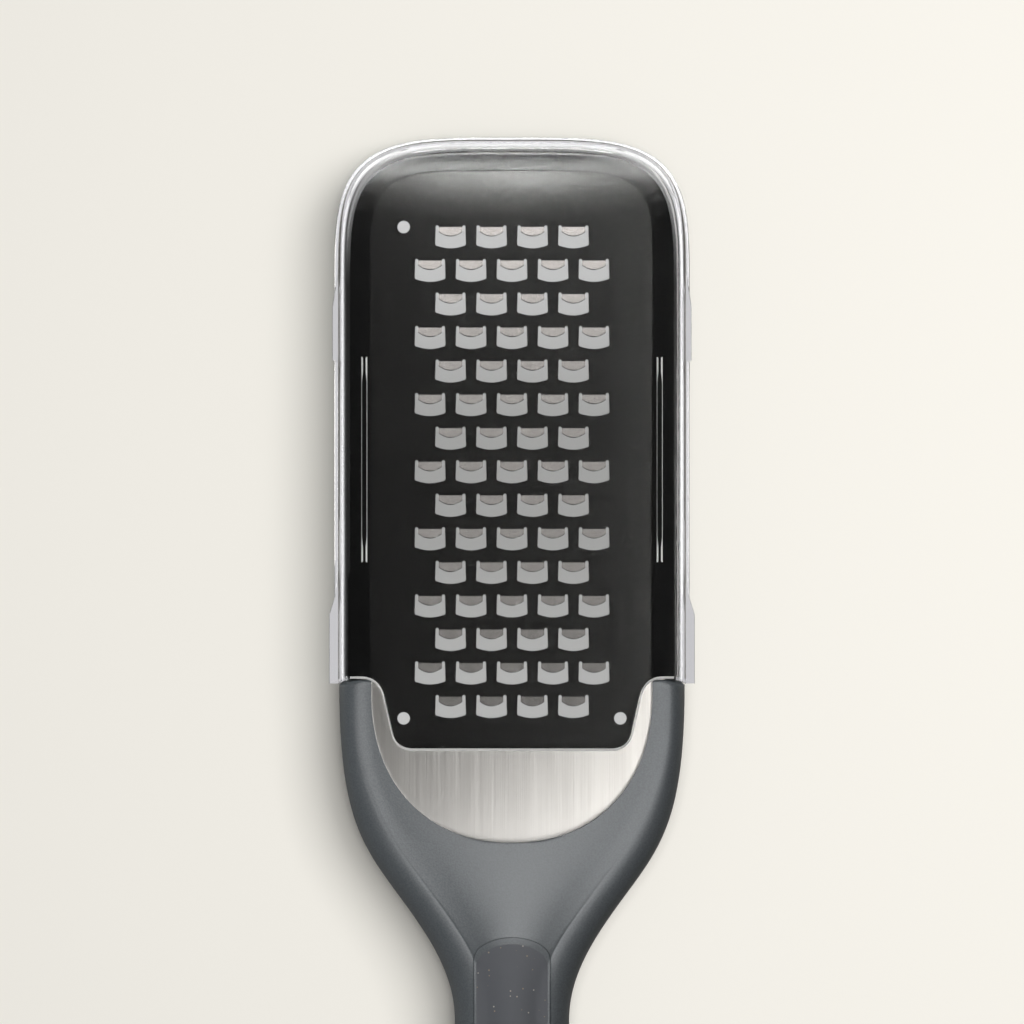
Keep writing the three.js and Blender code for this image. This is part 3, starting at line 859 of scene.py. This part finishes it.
def topHeight(x, along, edges=True):
    x = abs(x)
    half, depth, band = halfAt(along), depthAt(along), bandAt(along)
    low = handle["parting"] + handle["edgeRise"]
    rise = (handle["bayCentre"], handle["neck"])
    crown = ease(along, *rise, handle["armCrown"], handle["gripCrown"])
    crown *= depth * min(1.0, half / handle["neckHalf"])
    top = low + (ease(along, *rise, handle["armTop"], handle["gripTop"]) - low) * depth
    shoulder = half - band
    if x <= shoulder or band < 1e-6:
        inside = shoulder - x
        sink = ease(along, *handle["dishEnd"], handle["dish"], 0.0)
        sink *= math.exp(-inside / handle["dishReach"])
        sink *= 1 - math.exp(-(inside / handle["dishRun"]) ** 2)
        height = top - crown * (x / max(shoulder, 1e-6)) ** 2 - sink
    else:
        power = handle["bandPower"]
        share = min(1.0, (x - shoulder) / band)
        height = low + (top - crown - low) * max(0.0, 1 - share ** power) ** (1 / power)
    if edges:
        height -= rounding(bayGap(x, along, handle["crescent"]), handle["edgeRound"])
        height -= rounding(along - handle["end"], handle["endRound"])
        height -= rounding(holeGap(x, along), handle["holeRound"])
    return max(low, height)


pad = {
    "from": 55.4,
    "to": 165.1,
    "half": 8.5,
    "arch": 5.0,
    "gap": 0.03,
    "sunk": 1.2,  # depth of its pocket, and of the pocket's rounded edge
    "edgeSunk": 0.1,
    "depth": 1.1,
    "proud": 0.04,
    "ring": 1.5,  # border, at the arch and along the sides
    "ringSide": 0.65,
    "step": 0.12,
    "lip": 0.25,
    "edgeDrop": 0.12,
    "edgeRun": 0.05,
    "rowStart": 2.6,
    "rowPitch": 1.6,
}


# Half-width of the thumb inlay
def padHalf(along, inset=0.0, topInset=0.0):
    half = pad["half"] - inset
    start, end = pad["from"] + topInset, pad["to"] - inset
    archEnd, roundStart = start + pad["arch"], end - half
    if along <= start or along >= end:
        return 0.0
    if along < archEnd:
        return half * math.sqrt(max(0.0, 1 - ((archEnd - along) / pad["arch"]) ** 2))
    if along > roundStart:
        return math.sqrt(max(0.0, half ** 2 - (along - roundStart) ** 2))
    return half


def holeHalfAt(along):
    down = max(0.0, abs(along - handle["holeAlong"]) - handle["holeStraight"])
    return math.sqrt(max(0.0, handle["holeHalf"] ** 2 - down ** 2))


# Rows that draw together towards the end of an arch
def archRows(start, reach, steps):
    return [start + reach * (1 - math.cos(a)) for a in turns(steps)]


# Rows of the handle: (distance from the mouth, half-width of what is open in the middle)
def handleRows(bay):
    half, depth, power = bay
    rows = [(handle["end"] + d, half) for d in (0.0, 0.04, 0.12, 0.25, 0.5, 0.8, 1.2, 1.6, 2.1)]
    for i in range(41):
        x, y = squircle(half, depth, power, math.pi / 2 * i / 40)
        rows.append((handle["bayCentre"] + y, max(0.0, x) if i < 40 else 0.0))
    after = handle["bayCentre"] + depth
    plain = [after + d for d in (0.05, 0.12, 0.22, 0.36, 0.6, 1.0)]
    pitch = handle["rowPitch"]
    plain += [after + 1.0 + pitch * i for i in range(1, int((handle["heelStart"] - after - 1) / pitch))]
    near = archRows(pad["from"], pad["arch"], 14) + archRows(pad["to"], -pad["half"], 14)
    straight, reach = handle["holeStraight"], handle["holeHalf"]
    offs = [straight + reach * math.sin(a) for a in turns(12)]
    offs += [straight + reach + d for d in (0.08, 0.2, 0.4, 0.7, 1.0)]
    near += [handle["holeAlong"] + side * off for side in (-1, 1) for off in offs]
    heel = [handle["heelStart"] + handle["heelRound"] * math.sin(a) for a in turns(26)]
    for value in sorted(plain + near + heel):
        if value > after and (value in near or all(abs(value - other) > 0.3 for other in near)):
            rows.append((value, holeHalfAt(value)))
    return rows


def mirrored(bm):
    merge(bm)
    bmesh.ops.mirror(bm, geom=everything(bm), matrix=Matrix.Identity(4), merge_dist=1e-3, axis="X")
    merge(bm)


def makeTopShell():
    bm = bmesh.new()
    rows = handleRows(handle["crescent"])
    inside, flat, bend, side = 6, 10, 8, 12
    columns = inside + 2 + flat + bend + side

    def shellPoint(i, j):
        along, opening = rows[j]
        half, shoulder = halfAt(along), halfAt(along) - bandAt(along)
        inlay = padHalf(along)
        lowered = 1.0 if inlay > 0 else 0.0
        start = opening + inlay + pad["gap"] * lowered
        first = max(start, shoulder - handle["bend"])
        second = max(first, shoulder + handle["bend"])
        if i <= inside:
            x, sunk = opening + inlay * i / inside, pad["sunk"]
        elif i == inside + 1:
            x, sunk = opening + inlay, pad["edgeSunk"]
        elif i <= inside + 2 + flat:
            near = (0.0, 0.03, 0.08, 0.16)  # close lines along the rounded edge
            k, last = i - inside - 2, len(near) - 1
            x, sunk = min(first, start + near[min(k, last)]), 0.0
            if k > last:
                x = lerp(x, first, (k - last) / (flat - last))
        elif i <= inside + 2 + flat + bend:
            x, sunk = lerp(first, second, (i - inside - 2 - flat) / bend), 0.0
        else:
            turn = math.pi / 2 * (i - inside - 2 - flat - bend) / side
            x, sunk = lerp(second, half, math.sin(turn)), 0.0
        x = min(x, half)
        return Vector((x, tool["mouthY"] - along, topHeight(x, along) - sunk * lowered))

    netPiece(bm, columns, len(rows) - 1, shellPoint)
    mirrored(bm)
    backing(bm, lambda point: handle["parting"])
    looks = [finishes["slate"]]
    return finishPiece("handle_top_shell", bm, looks, "grater", ["handle_front"], 50)


def makeBottomShell():
    bm = bmesh.new()
    rows = handleRows(handle["tray"])
    flat, side = 10, 14
    high = handle["parting"] - handle["edgeRise"]

    def underHeight(x, along):
        half, depth, power = halfAt(along), depthAt(along), handle["bellyPower"]
        bottom = high - (high - ease(along, *handle["underRun"], handle["underArm"], 0.0)) * depth
        band = min(handle["belly"], half * handle["bandShare"])
        share = max(0.0, min(1.0, (x - (half - band)) / max(band, 1e-6)))
        height = high - (high - bottom) * max(0.0, 1 - share ** power) ** (1 / power)
        height += (rounding(bayGap(x, along, handle["tray"]), handle["trayRound"])
                   + rounding(along - handle["end"], handle["underEnd"]))
        return min(high, height + rounding(holeGap(x, along), handle["holeRound"]))

    def shellPoint(i, j):
        along, opening = rows[j]
        half = halfAt(along)
        shoulder = max(opening, half - min(handle["belly"], half * handle["bandShare"]))
        if i <= flat:
            x = lerp(opening, shoulder, (i / flat) ** handle["spread"])
        else:
            x = lerp(shoulder, half, math.sin(math.pi / 2 * (i - flat) / side))
        x = min(x, half)
        return Vector((x, tool["mouthY"] - along, underHeight(x, along)))

    netPiece(bm, flat + side, len(rows) - 1, shellPoint)
    mirrored(bm)

    def clamp(point):
        inBay = bayGap(point.x, tool["mouthY"] - point.y, handle["crescent"]) < -0.05
        return tool["bladeTop"] - tool["bladeThickness"] - handle["clampGap"] if inBay else high

    backing(bm, clamp)
    looks = [finishes["slate"]]
    return finishPiece("handle_bottom_shell", bm, looks, "grater", ["handle_back"], 50)


def makeInlay():
    bm = bmesh.new()
    gap = pad["gap"]
    start, end = pad["from"] + gap, pad["to"] - gap
    rows = archRows(start, pad["arch"], 22) + archRows(start + pad["ring"], pad["arch"], 14)
    rows += archRows(end, gap - pad["half"], 22)
    middle = [start + pad["arch"] + pad["rowStart"] + pad["rowPitch"] * i for i in range(59)]
    rows = sorted(set(rows + [value for value in middle if value < end - pad["half"]]))
    core, ring, lip = 8, 6, 4

    def inlayPoint(i, j):
        along = rows[j]
        outer = padHalf(along, gap, gap)
        inside = min(padHalf(along, gap + pad["ringSide"], gap + pad["ring"]), outer)
        edge = max(inside, outer - pad["lip"])
        if i <= core:
            x = inside * i / core
        elif i <= core + ring:
            x = lerp(inside, edge, (i - core) / ring)
        else:
            x = lerp(edge, outer, math.sin(math.pi / 2 * (i - core - ring) / lip))
        gone = max(0.0, along - start)
        outLevel = (x / (pad["half"] - gap)) ** 2 + max(0.0, 1 - gone / pad["arch"]) ** 2
        inLevel = (x / (pad["half"] - gap - pad["ringSide"])) ** 2
        inLevel += max(0.0, 1 - (gone - pad["ring"]) / pad["arch"]) ** 2
        low = max(0.0, along - (end - pad["half"]))
        outLevel += (low / pad["half"]) ** 2
        inLevel += (low / (pad["half"] - pad["ringSide"])) ** 2
        outside, within = max(0.0, 1 - outLevel), max(0.0, inLevel - 1)
        share = 1.0 if within <= 0 else outside / max(1e-9, outside + within)
        drop = pad["step"] * share + pad["edgeDrop"] * max(0.0, 1 - outside / pad["edgeRun"]) ** 2
        return Vector((x, tool["mouthY"] - along, topHeight(x, along, False) + pad["proud"] - drop))

    net = netPiece(bm, core + ring + lip, len(rows) - 1, inlayPoint)
    paint([vert for (i, j), vert in net.items() if i > core], 1)
    mirrored(bm)
    wall = bmesh.ops.extrude_edge_only(bm, edges=openEdges(bm))["geom"]
    setLevel(wall, lambda point: topHeight(point.x, tool["mouthY"] - point.y, False) - pad["depth"])
    merge(bm)
    fillFlat(bm, openEdges(bm))
    looks = [finishes["soft"], finishes["slate"]]
    return finishPiece("thumb_inlay", bm, looks, "grater", ["thumb_pad"], 50)


cover = {
    "half": 38.2,
    "tipY": 157.2,
    "tipDepth": 33.8,
    "tipPower": 4.0,
    "bottom": 2.0,
    "top": 18.3,
    "ceiling": 16.9,
    "wall": 1.4,
    "round": 2.2,
    "strip": 0.5,  # flat border of the roof beside its rounded edge
    "inRound": 0.2,
    "draft": 0.3,
    "outLines": (13.0, 7.0),  # heights of two lines outside, then insets and heights of two inside
    "inLines": ((1.2, 8.0), (1.36, 14.0)),
    "flange": 1.15,
    "flangeHeight": 1.4,
    "fillet": 0.25,  # from the wall to the flange
    "footOut": 0.2,  # bevels of the lower edge
    "footIn": 0.15,
    "padHeight": 8.0,
    "padFrom": 30.0,  # pads are only on the sides
    "pads": [(0.0, 21.8, 2.1, 6.6), (71.2, 20.9, 1.4, 9.0)],  # from the mouth, length, reach, slope
    "hooks": [(18.0, 36.0), (69.9, 87.9)],
    "hookReach": 1.6,
    "hookFrom": 3.0,
    "hookTo": 4.2,
    "hookEdge": 0.05,
    "ribX": 32.4,
    "ribWidth": 1.3,
    "ribDepth": 0.4,
    "ribSlope": 0.14,
    "ribFlare": 2.6,  # the sides are this much broader near the ends
    "ribRamp": 0.3,
    "ribEnd": 5.5,
    "ribFrom": 64.4,
    "ribTo": 109.4,
    "edge": 0.55,  # chamfer along the front edge of the roof, less of it at the tongue's sides
    "edgeSide": 0.22,
    "edgeDrop": 0.42,
    "fine": 0.08,  # small bevels of the pads and the flange
    "hair": 0.02,  # support lines beside the roundings
    "lines": (42.0, 48.0, 65.0, 80.0, 94.0, 100.0),  # plain rows up a side
}


def makeCover():
    bm = bmesh.new()
    mouth, low, top, ceiling = tool["mouthY"], cover["bottom"], cover["top"], cover["ceiling"]
    padTop = low + cover["padHeight"]
    flangeTop, flangeOut = low + cover["flangeHeight"], -cover["flange"]
    inner = cover["wall"] - cover["draft"]
    bend, small, fine, hair = cover["round"], cover["inRound"], cover["fine"], cover["hair"]
    draft = lambda height: -cover["draft"] * (top - bend - height) / (top - bend - low)
    border, hookFrom, hookTo = bend + cover["strip"], cover["hookFrom"], cover["hookTo"]
    levels = []

    # profile of the wall: which side, then insets from the outside and heights
    def add(side, *points):
        levels.extend((inset, height, side) for inset, height in points)

    add("out", (border, top), (bend + hair, top))
    add("out", *((a, top - b) for a, b in reversed(corner(bend, 10))))
    upper, lower = cover["outLines"]
    add("out", *((draft(height), height) for height in (upper, padTop + fine, padTop + hair)))
    add("padIn", (draft(padTop), padTop))
    add("pad", (draft(padTop), padTop))
    wallFoot, foot, footIn = flangeTop + cover["fillet"], cover["footOut"], cover["footIn"]
    add("padFull", *((draft(height), height) for height in (padTop - fine, lower, wallFoot)))
    add("padFull", (flangeOut + 2 * fine, flangeTop), (flangeOut + fine, flangeTop),
        (flangeOut, flangeTop - fine), (flangeOut, low + foot), (flangeOut + foot, low))
    add("in", (inner - footIn, low), (inner, low + footIn), (inner, hookFrom))
    add("hook", (inner, hookFrom), (inner, hookTo))
    add("in", (inner, hookTo), *cover["inLines"])
    add("in", *((cover["wall"] + a, ceiling - b) for a, b in corner(small, 6)))
    add("in", (cover["wall"] + small + hair, ceiling), (border, ceiling))
    # rows up one side: the mouth, the finger pads and the hooks give their places
    stops = {mouth, *cover["lines"]}
    for start, length, reach, slope in cover["pads"]:
        first, last = mouth + start, mouth + start + length
        stops |= {first, first - fine, last - slope, last - slope - 1, last - slope * 0.5, last}
    for start, end in cover["hooks"]:
        first, last, gap = mouth + start, mouth + end, cover["hookEdge"]
        stops |= {first, first - gap, last, last + gap}
    legEnd = cover["tipY"] - cover["tipDepth"]
    legs = sorted(value for value in stops if mouth <= value < legEnd - 0.3) + [legEnd]
    tipSteps = 88

    def padOut(y):
        for start, length, reach, slope in cover["pads"]:
            first, last = mouth + start, mouth + start + length
            if first <= y <= last:
                return reach * min(1.0, (last - y) / slope)
        return 0.0

    def hookOut(y):
        return any(mouth + start <= y <= mouth + end for start, end in cover["hooks"])

    def coverPoint(i, j):
        inset, height, kind = levels[i]
        half, depth = cover["half"] - inset, cover["tipDepth"] - inset
        last = len(legs) - 1
        if j < last or j > last + tipSteps:
            k = j if j < last else 2 * last + tipSteps - j
            x, y = (half if j < last else -half), legs[k]
            if k == 0:
                y = lerp(mouth, tool["roofY"], min(1.0, max(0.0, inset / cover["wall"])))
                y += cover["edge"] * max(0.0, 1 - (top - height) / cover["edgeDrop"])
        else:
            x, y = squircle(half, depth, cover["tipPower"], math.pi * (j - last) / tipSteps)
            y += legEnd
        out = padOut(y) if abs(x) > cover["padFrom"] else 0.0
        if kind == "padFull" and out > 0:
            x = math.copysign(max(abs(x), cover["half"] + out), x)
        elif kind in ("padIn", "pad") and out > 0:
            x = math.copysign(max(abs(x), cover["half"] + out - fine * (1 if kind == "pad" else 2)), x)
        elif kind == "hook" and hookOut(y):
            x -= math.copysign(cover["hookReach"], x)
        return Vector((x, y, height))

    netPiece(bm, len(levels) - 1, 2 * (len(legs) - 1) + tipSteps, coverPoint)
    # front edge of the roof, chamfered most where it faces the handle
    wide = cover["half"] - cover["round"] - cover["strip"]
    line = [(-wide, tool["roofY"])] + tongueEdge() + [(wide, tool["roofY"])]
    steps = [(1.0, 0.0), (0.72, 0.1), (0.35, 0.42), (0.1, 0.75), (0.0, 1.0), (0.0, None)]

    def edgePoint(i, j):
        share, drop = steps[i]
        depth, least = share * cover["edge"], cover["edgeSide"]
        x, y = beside(line, lambda k, normal: depth * lerp(least, 1.0, max(0.0, normal[1])))[j]
        return Vector((x, y, ceiling if drop is None else top - cover["edgeDrop"] * drop))

    lip = netPiece(bm, len(steps) - 1, len(line) - 1, edgePoint)
    # painted highlight: the chamfer faces take the whitish edge finish
    paint([vert for (i, j), vert in lip.items() if 0 < i < 4], 1)
    merge(bm, 1e-3)
    # ribs under the roof, whose sides broaden towards both ends and carry the painted highlight finish
    ribLoops = []
    for side in (-1, 1):
        start, stop, reach = cover["ribFrom"], cover["ribTo"], cover["ribEnd"]
        ramp = cover["ribRamp"]
        stations = [start, start + hair, start + ramp, start + reach * 0.6, start + reach]
        stations += [start + stop - value for value in reversed(stations)]

        def ribPoint(i, j):
            y = stations[j]
            near = min(y - start, stop - y)
            slope = cover["ribSlope"] * (cover["ribFlare"] if 0.1 < near < reach * 0.7 else 1.0)
            down = cover["ribDepth"] * min(1.0, near / ramp)
            offset = (-0.5, -0.5, 0.5, 0.5)[i] * cover["ribWidth"] + (0.0, slope, -slope, 0.0)[i]
            return Vector((side * (cover["ribX"] + offset), y, ceiling - (down if i in (1, 2) else 0.0)))

        ribNet = netPiece(bm, 3, len(stations) - 1, ribPoint)
        # painted highlight: the rib sides take the whitish edge finish
        paint([vert for (i, j), vert in ribNet.items() if i in (0, 3)], 1)
        ribRim = [ribNet[at] for at in ribNet if at[0] in (0, 3) or at[1] in (0, len(stations) - 1)]
        ribLoops += [edge for edge in edgesAt(ribRim) if edge.is_boundary]
    ribVerts = list({vert for edge in ribLoops for vert in edge.verts})
    bmesh.ops.remove_doubles(bm, verts=ribVerts, dist=1e-4)
    for level in (top, ceiling):
        flat = lambda edge: all(abs(vert.co.z - level) < 1e-3 for vert in edge.verts)
        fillFlat(bm, [edge for edge in openEdges(bm) if flat(edge)], 2)
    bmesh.ops.holes_fill(bm, edges=openEdges(bm), sides=0)
    looks = [finishes["clear"], finishes["clearEdgePaintedHighlight"], finishes["clearRoof"]]
    return finishPiece("clear_cover", bm, looks, "cover", ["cover"], 38)


pieces = [makeBlade(), makeRim(),
          makeFoot(-1, "foot_left", "tip_foot_left"), makeFoot(1, "foot_right", "tip_foot_right"),
          makeTopShell(), makeBottomShell(), makeInlay(), makeCover()]
print("pieces ready")

stage = {
    "floor": rgb(0.86, 0.845, 0.80),
    "haze": rgb(0.86, 0.845, 0.80),
    "dim": rgb(0.24, 0.235, 0.225),  # painted shade: the darker colour that the floor near the tool and towards the handle sends back to it
    "beside": rgb(0.62, 0.61, 0.63),  # painted glow of the floor, seen through the edge of the clear cover
    "wall": rgb(0.17, 0.168, 0.17),  # painted shade, seen through its side walls
    "wallFree": rgb(0.62, 0.615, 0.62),  # painted glow, seen between the finger pads
    "wallTip": rgb(0.84, 0.835, 0.83),
    "underTip": rgb(0.60, 0.598, 0.595),  # painted glow and shade seen through the windows: lighter at the tip, darker in the middle
    "underMiddle": rgb(0.385, 0.382, 0.375),
    "underFoot": rgb(0.49, 0.487, 0.48),
    "underPin": rgb(0.72, 0.715, 0.71),  # and painted glow seen through the small round holes
    "size": 6.0,  # the rest is in metres
    "drop": 0.0002,
    "footEnd": (0.030, 0.075),  # where the colours meet, along the tool
    "middleEnd": (0.090, 0.135),
    "freeStart": (0.056, 0.066),
    "freeEnd": (0.102, 0.110),
    "mouth": (0.036, 0.040),
    "beyondTip": (0.156, 0.164),
    "pinStart": (0.0222, 0.0226),  # across it
    "wallStart": (0.028, 0.030),
    "outside": (0.0385, 0.0395),
    "tipStart": (0.014, 0.030),  # from the start of the cover's rounded end
    "tipWall": (0.0310, 0.0315),
    "outline": (0.97, 1.03),  # in shares of the cover's outline
    "hazeRun": (0.35, 1.0),  # from the middle of the floor
}


def fourth(value):
    square = value * value
    return square * square


# Pale floor: it keeps the shadow and fades into the backdrop far away. Through the clear cover and the
# windows it glows with painted light and shade, darker under the tool, and near the tool it sends a
# painted shade back to it
def makeFloor():
    bm = bmesh.new()
    bmesh.ops.create_grid(bm, x_segments=1, y_segments=1, size=stage["size"])
    bmesh.ops.translate(bm, vec=(0, 0, -stage["drop"]), verts=bm.verts[:])
    floor = addMesh("floor", bm)
    f = newFinish("floor_paper_and_painted_shade")
    paper = f.node("BsdfDiffuse", {}, {"Color": stage["floor"]})
    across, along = f.axis("X"), f.axis("Y")
    wide = abs(across)
    legEnd = (cover["tipY"] - cover["tipDepth"]) / 1000
    up = f.node("Math", {"operation": "MAXIMUM"}, {0: along - legEnd, 1: 0.0})
    level = fourth(across * (1000 / cover["half"])) + fourth(up * (1000 / cover["tipDepth"]))
    # painted light and shade: glowing zones, darker under the tool, that show through the clear cover
    # and the windows
    free = f.span(along, *stage["freeStart"]) * (1 - f.span(along, *stage["freeEnd"]))
    wall = f.tint(free, stage["wall"], stage["wallFree"])
    wall = f.tint(f.span(up, *stage["tipStart"]), wall, stage["wallTip"])
    under = f.tint(f.span(along, *stage["footEnd"]), stage["underFoot"], stage["underMiddle"])
    under = f.tint(f.span(along, *stage["middleEnd"]), under, stage["underTip"])
    under = f.tint(f.span(wide, *stage["pinStart"]) * 0.5, under, stage["underPin"])
    under = f.tint(f.span(wide, *stage["wallStart"]), under, wall)
    under = f.tint(f.span(up, *stage["tipWall"]), under, wall)
    under = f.tint(f.span(level, *stage["outline"]), under, stage["beside"])
    through = f.node("Emission", {}, {"Color": under})
    # what the camera sees, and the painted shade that goes back to the tool
    haze = f.node("Emission", {}, {"Color": stage["haze"]})
    distance = f.node("VectorMath", {"operation": "LENGTH"}, {0: f.place()}, "Value")
    pale = f.choose(f.span(distance, *stage["hazeRun"]), paper, haze)
    outside = f.span(wide, *stage["outside"]) * f.span(along, *stage["mouth"])
    paintedShadeBack = f.tint(outside, stage["dim"], stage["floor"])
    paintedShadeBack = f.tint(f.span(along, *stage["beyondTip"]), paintedShadeBack, stage["floor"])
    dim = f.node("BsdfDiffuse", {}, {"Color": paintedShadeBack})
    seen = f.choose(f.ray("Is Camera Ray"), dim, pale)
    floor.data.materials.append(f.output(f.choose(f.ray("Is Transmission Ray"), seen, through)))


cards = {
    "centre": (0.0, 0.08),
    "radius": 0.80,
    "low": 4,  # degrees above the floor
    "high": 87,
    "turn": 25,
    "glow": 9.0,
    # tones from the floor up: between two heights, from one tone (or the one before) to the next
    "sides": [(0.10, 0.34, 0.12, 1.0), (0.42, 0.82, None, 0.20), (0.76, 0.97, None, 0.04)],
    "end": [(0.45, 0.68, 0.62, 1.9), (0.86, 0.975, None, 0.95), (0.975, 1.0, None, 0.60)],
    "endAside": (0.10, 0.42),  # the end of the screen, beyond the tip
    "endAlong": (0.15, 0.20),
}


def collect(name, objects):
    group = bpy.data.collections.new(name)
    for item in objects:
        group.objects.link(item)
    return group


# A pale screen round the head that only the clear cover mirrors, brightest low down
def makeCards():
    f = newFinish("screen_paper")
    height = f.axis("Z") * (1 / cards["radius"])
    tip = (1 - f.span(abs(f.axis("X")), *cards["endAside"])) * f.span(f.axis("Y"), *cards["endAlong"])
    tones = {}
    for part in ("sides", "end"):
        for low, high, first, last in cards[part]:
            before = tones[part] if first is None else grey(first)
            tones[part] = f.tint(f.span(height, low, high), before, grey(last))
    fade = f.tint(tip, tones["sides"], tones["end"])
    paper = f.node("Emission", {}, {"Color": fade, "Strength": cards["glow"]})
    sharp = f.ray("Is Singular Ray")  # so that the polished roof doesn't show the screen
    f.output(f.choose(sharp, paper, f.node("BsdfTransparent")))
    f.owner.cycles.emission_sampling = "NONE"
    bm = bmesh.new()
    columns, rows = 48, 16

    def screenPoint(i, j):
        around = math.radians(lerp(-cards["turn"], 180 + cards["turn"], i / columns))
        up = math.radians(lerp(cards["low"], cards["high"], j / rows))
        x, y = (middle + cards["radius"] * math.cos(up) * side for middle, side in
                zip(cards["centre"], (math.cos(around), math.sin(around))))
        return Vector((x, y, cards["radius"] * math.sin(up)))

    netPiece(bm, columns, rows, screenPoint)
    screen = addMesh("screen", bm)
    screen.data.materials.append(f.owner)
    for hidden in ("visible_camera", "visible_diffuse", "visible_transmission", "visible_shadow"):
        setattr(screen, hidden, False)
    shownIn = collect("shown_in_cover", [bpy.data.objects["clear_cover"]])
    screen.light_linking.receiver_collection = shownIn


lights = {
    "aim": (0.0, 0.07, 0.012),
    # name, place, breadth, height towards the zenith, glow, colour, how it is seen, what it lights
    "boxes": [
        ("floor_key", (0.62, 0.28, 1.05), 0.70, 0.70, 6.2, (1.0, 0.985, 0.96), "matt", "floor"),
        ("floor_fill", (0.05, 0.05, 1.25), 0.60, 0.60, 6.8, (1.0, 0.99, 0.97), "matt", "floor"),
        ("head_key", (-0.35, 0.20, 1.10), 0.50, 0.50, 15.0, (1.0, 0.985, 0.96), "matt", "head"),
        ("handle_left", (-0.70, 0.0, 1.00), 0.50, 0.50, 7.0, (1.0, 0.985, 0.97), "matt", "handle"),
        ("handle_right", (0.70, 0.0, 1.00), 0.50, 0.50, 1.5, (1.0, 0.99, 0.98), "matt", "handle"),
        ("handle_tip", (0.0, 0.80, 1.00), 0.50, 0.50, 7.2, (1.0, 0.99, 0.98), "matt", "handle"),
        ("side_card", (0.18, 0.08, 0.42), 0.50, 0.12, 7.4, (1.0, 0.98, 0.94), "gloss", "head"),
        ("tip_card", (0.0, 0.258, 0.45), 0.09, 0.038, 24.0, (1.0, 0.985, 0.96), "gloss", "head"),
        ("tip_glow", (0.0, 0.205, 0.45), 0.07, 0.040, 1.5, (1.0, 0.97, 0.94), "gloss", "head"),
        ("tooth_low", (0.0, 0.30, 0.10), 0.60, 0.05, 1.75, (1.0, 0.96, 0.94), "gloss", "head"),
        ("tooth_high", (0.0, 0.30, 0.16), 0.60, 0.06, 0.52, (1.0, 0.96, 0.94), "gloss", "head"),
    ],
    "panels": [  # the same, facing straight down: breadth along X, height along Y
        ("steel_card", (0.042, -0.056, 0.16), 0.14, 0.104, 2.25, (1.0, 0.99, 0.975), "gloss", "head"),
        ("neck_card", (0.0, -0.005, 0.20), 0.06, 0.06, 18.0, (1.0, 0.99, 0.98), "gloss", "handle"),
        ("arm_card", (0.075, 0.02, 0.20), 0.06, 0.08, 8.0, (1.0, 0.99, 0.98), "gloss", "handle"),
    ],
    "room": rgb(1.0, 0.99, 0.97),
    "side": 0.12,  # glow of the room around, and straight above
    "above": 0.018,
    "ceiling": (0.80, 0.96),
}


def makeLights():
    grip = [piece for piece in pieces if piece.name.startswith(("handle", "thumb"))]
    lit = {"floor": [bpy.data.objects["floor"]], "handle": grip,
           "head": [piece for piece in pieces if piece not in grip]}
    lit = {name: collect("lit_" + name, members) for name, members in lit.items()}
    for name, place, width, height, glow, colour, seen, on in lights["boxes"] + lights["panels"]:
        lamp = bpy.data.lights.new(name, "AREA")
        lamp.shape = "RECTANGLE"
        lamp.size, lamp.size_y = width, height
        lamp.energy = glow * math.pi * width * height
        lamp.color = colour
        box = addObject(name, lamp)
        box.location = place
        box.visible_camera = False
        box.visible_diffuse = seen == "matt"
        box.visible_glossy = box.visible_transmission = seen == "gloss"
        box.light_linking.receiver_collection = lit[on]
    for row in lights["boxes"]:
        toward = Vector(lights["aim"]) - Vector(row[1])
        bpy.data.objects[row[0]].rotation_euler = toward.to_track_quat("-Z", "Y").to_euler()
    world = bpy.data.worlds.new("studio")
    bpy.context.scene.world = world
    f = Finish(world)
    toward = f.node("TexCoord", out="Generated")
    up = f.node("SeparateXYZ", {}, {0: toward}, "Z")
    room = f.span(up, *lights["ceiling"], lights["side"], lights["above"])
    dim = f.node("Background", {}, {"Color": lights["room"], "Strength": room})
    pale = f.node("Background", {}, {"Color": stage["haze"], "Strength": 1.0})
    seen = f.ray("Is Camera Ray")
    f.output(f.choose(seen, dim, pale), "OutputWorld")


# The frame is as wide as this at the height of the sheet
view = {"centre": (0.0, 0.0754), "distance": 1.4, "level": 0.015, "frame": 0.2250}


def makeCamera():
    data = bpy.data.cameras.new("camera")
    data.sensor_width = 36.0
    data.lens = data.sensor_width * view["distance"] / view["frame"]
    data.clip_end = 50.0
    camera = addObject("camera", data)
    camera.location = (*view["centre"], view["distance"] + view["level"])
    bpy.context.scene.camera = camera


makeFloor()
makeCards()
makeLights()
makeCamera()
bpy.context.scene.view_settings.view_transform = "Standard"
print("stage ready")
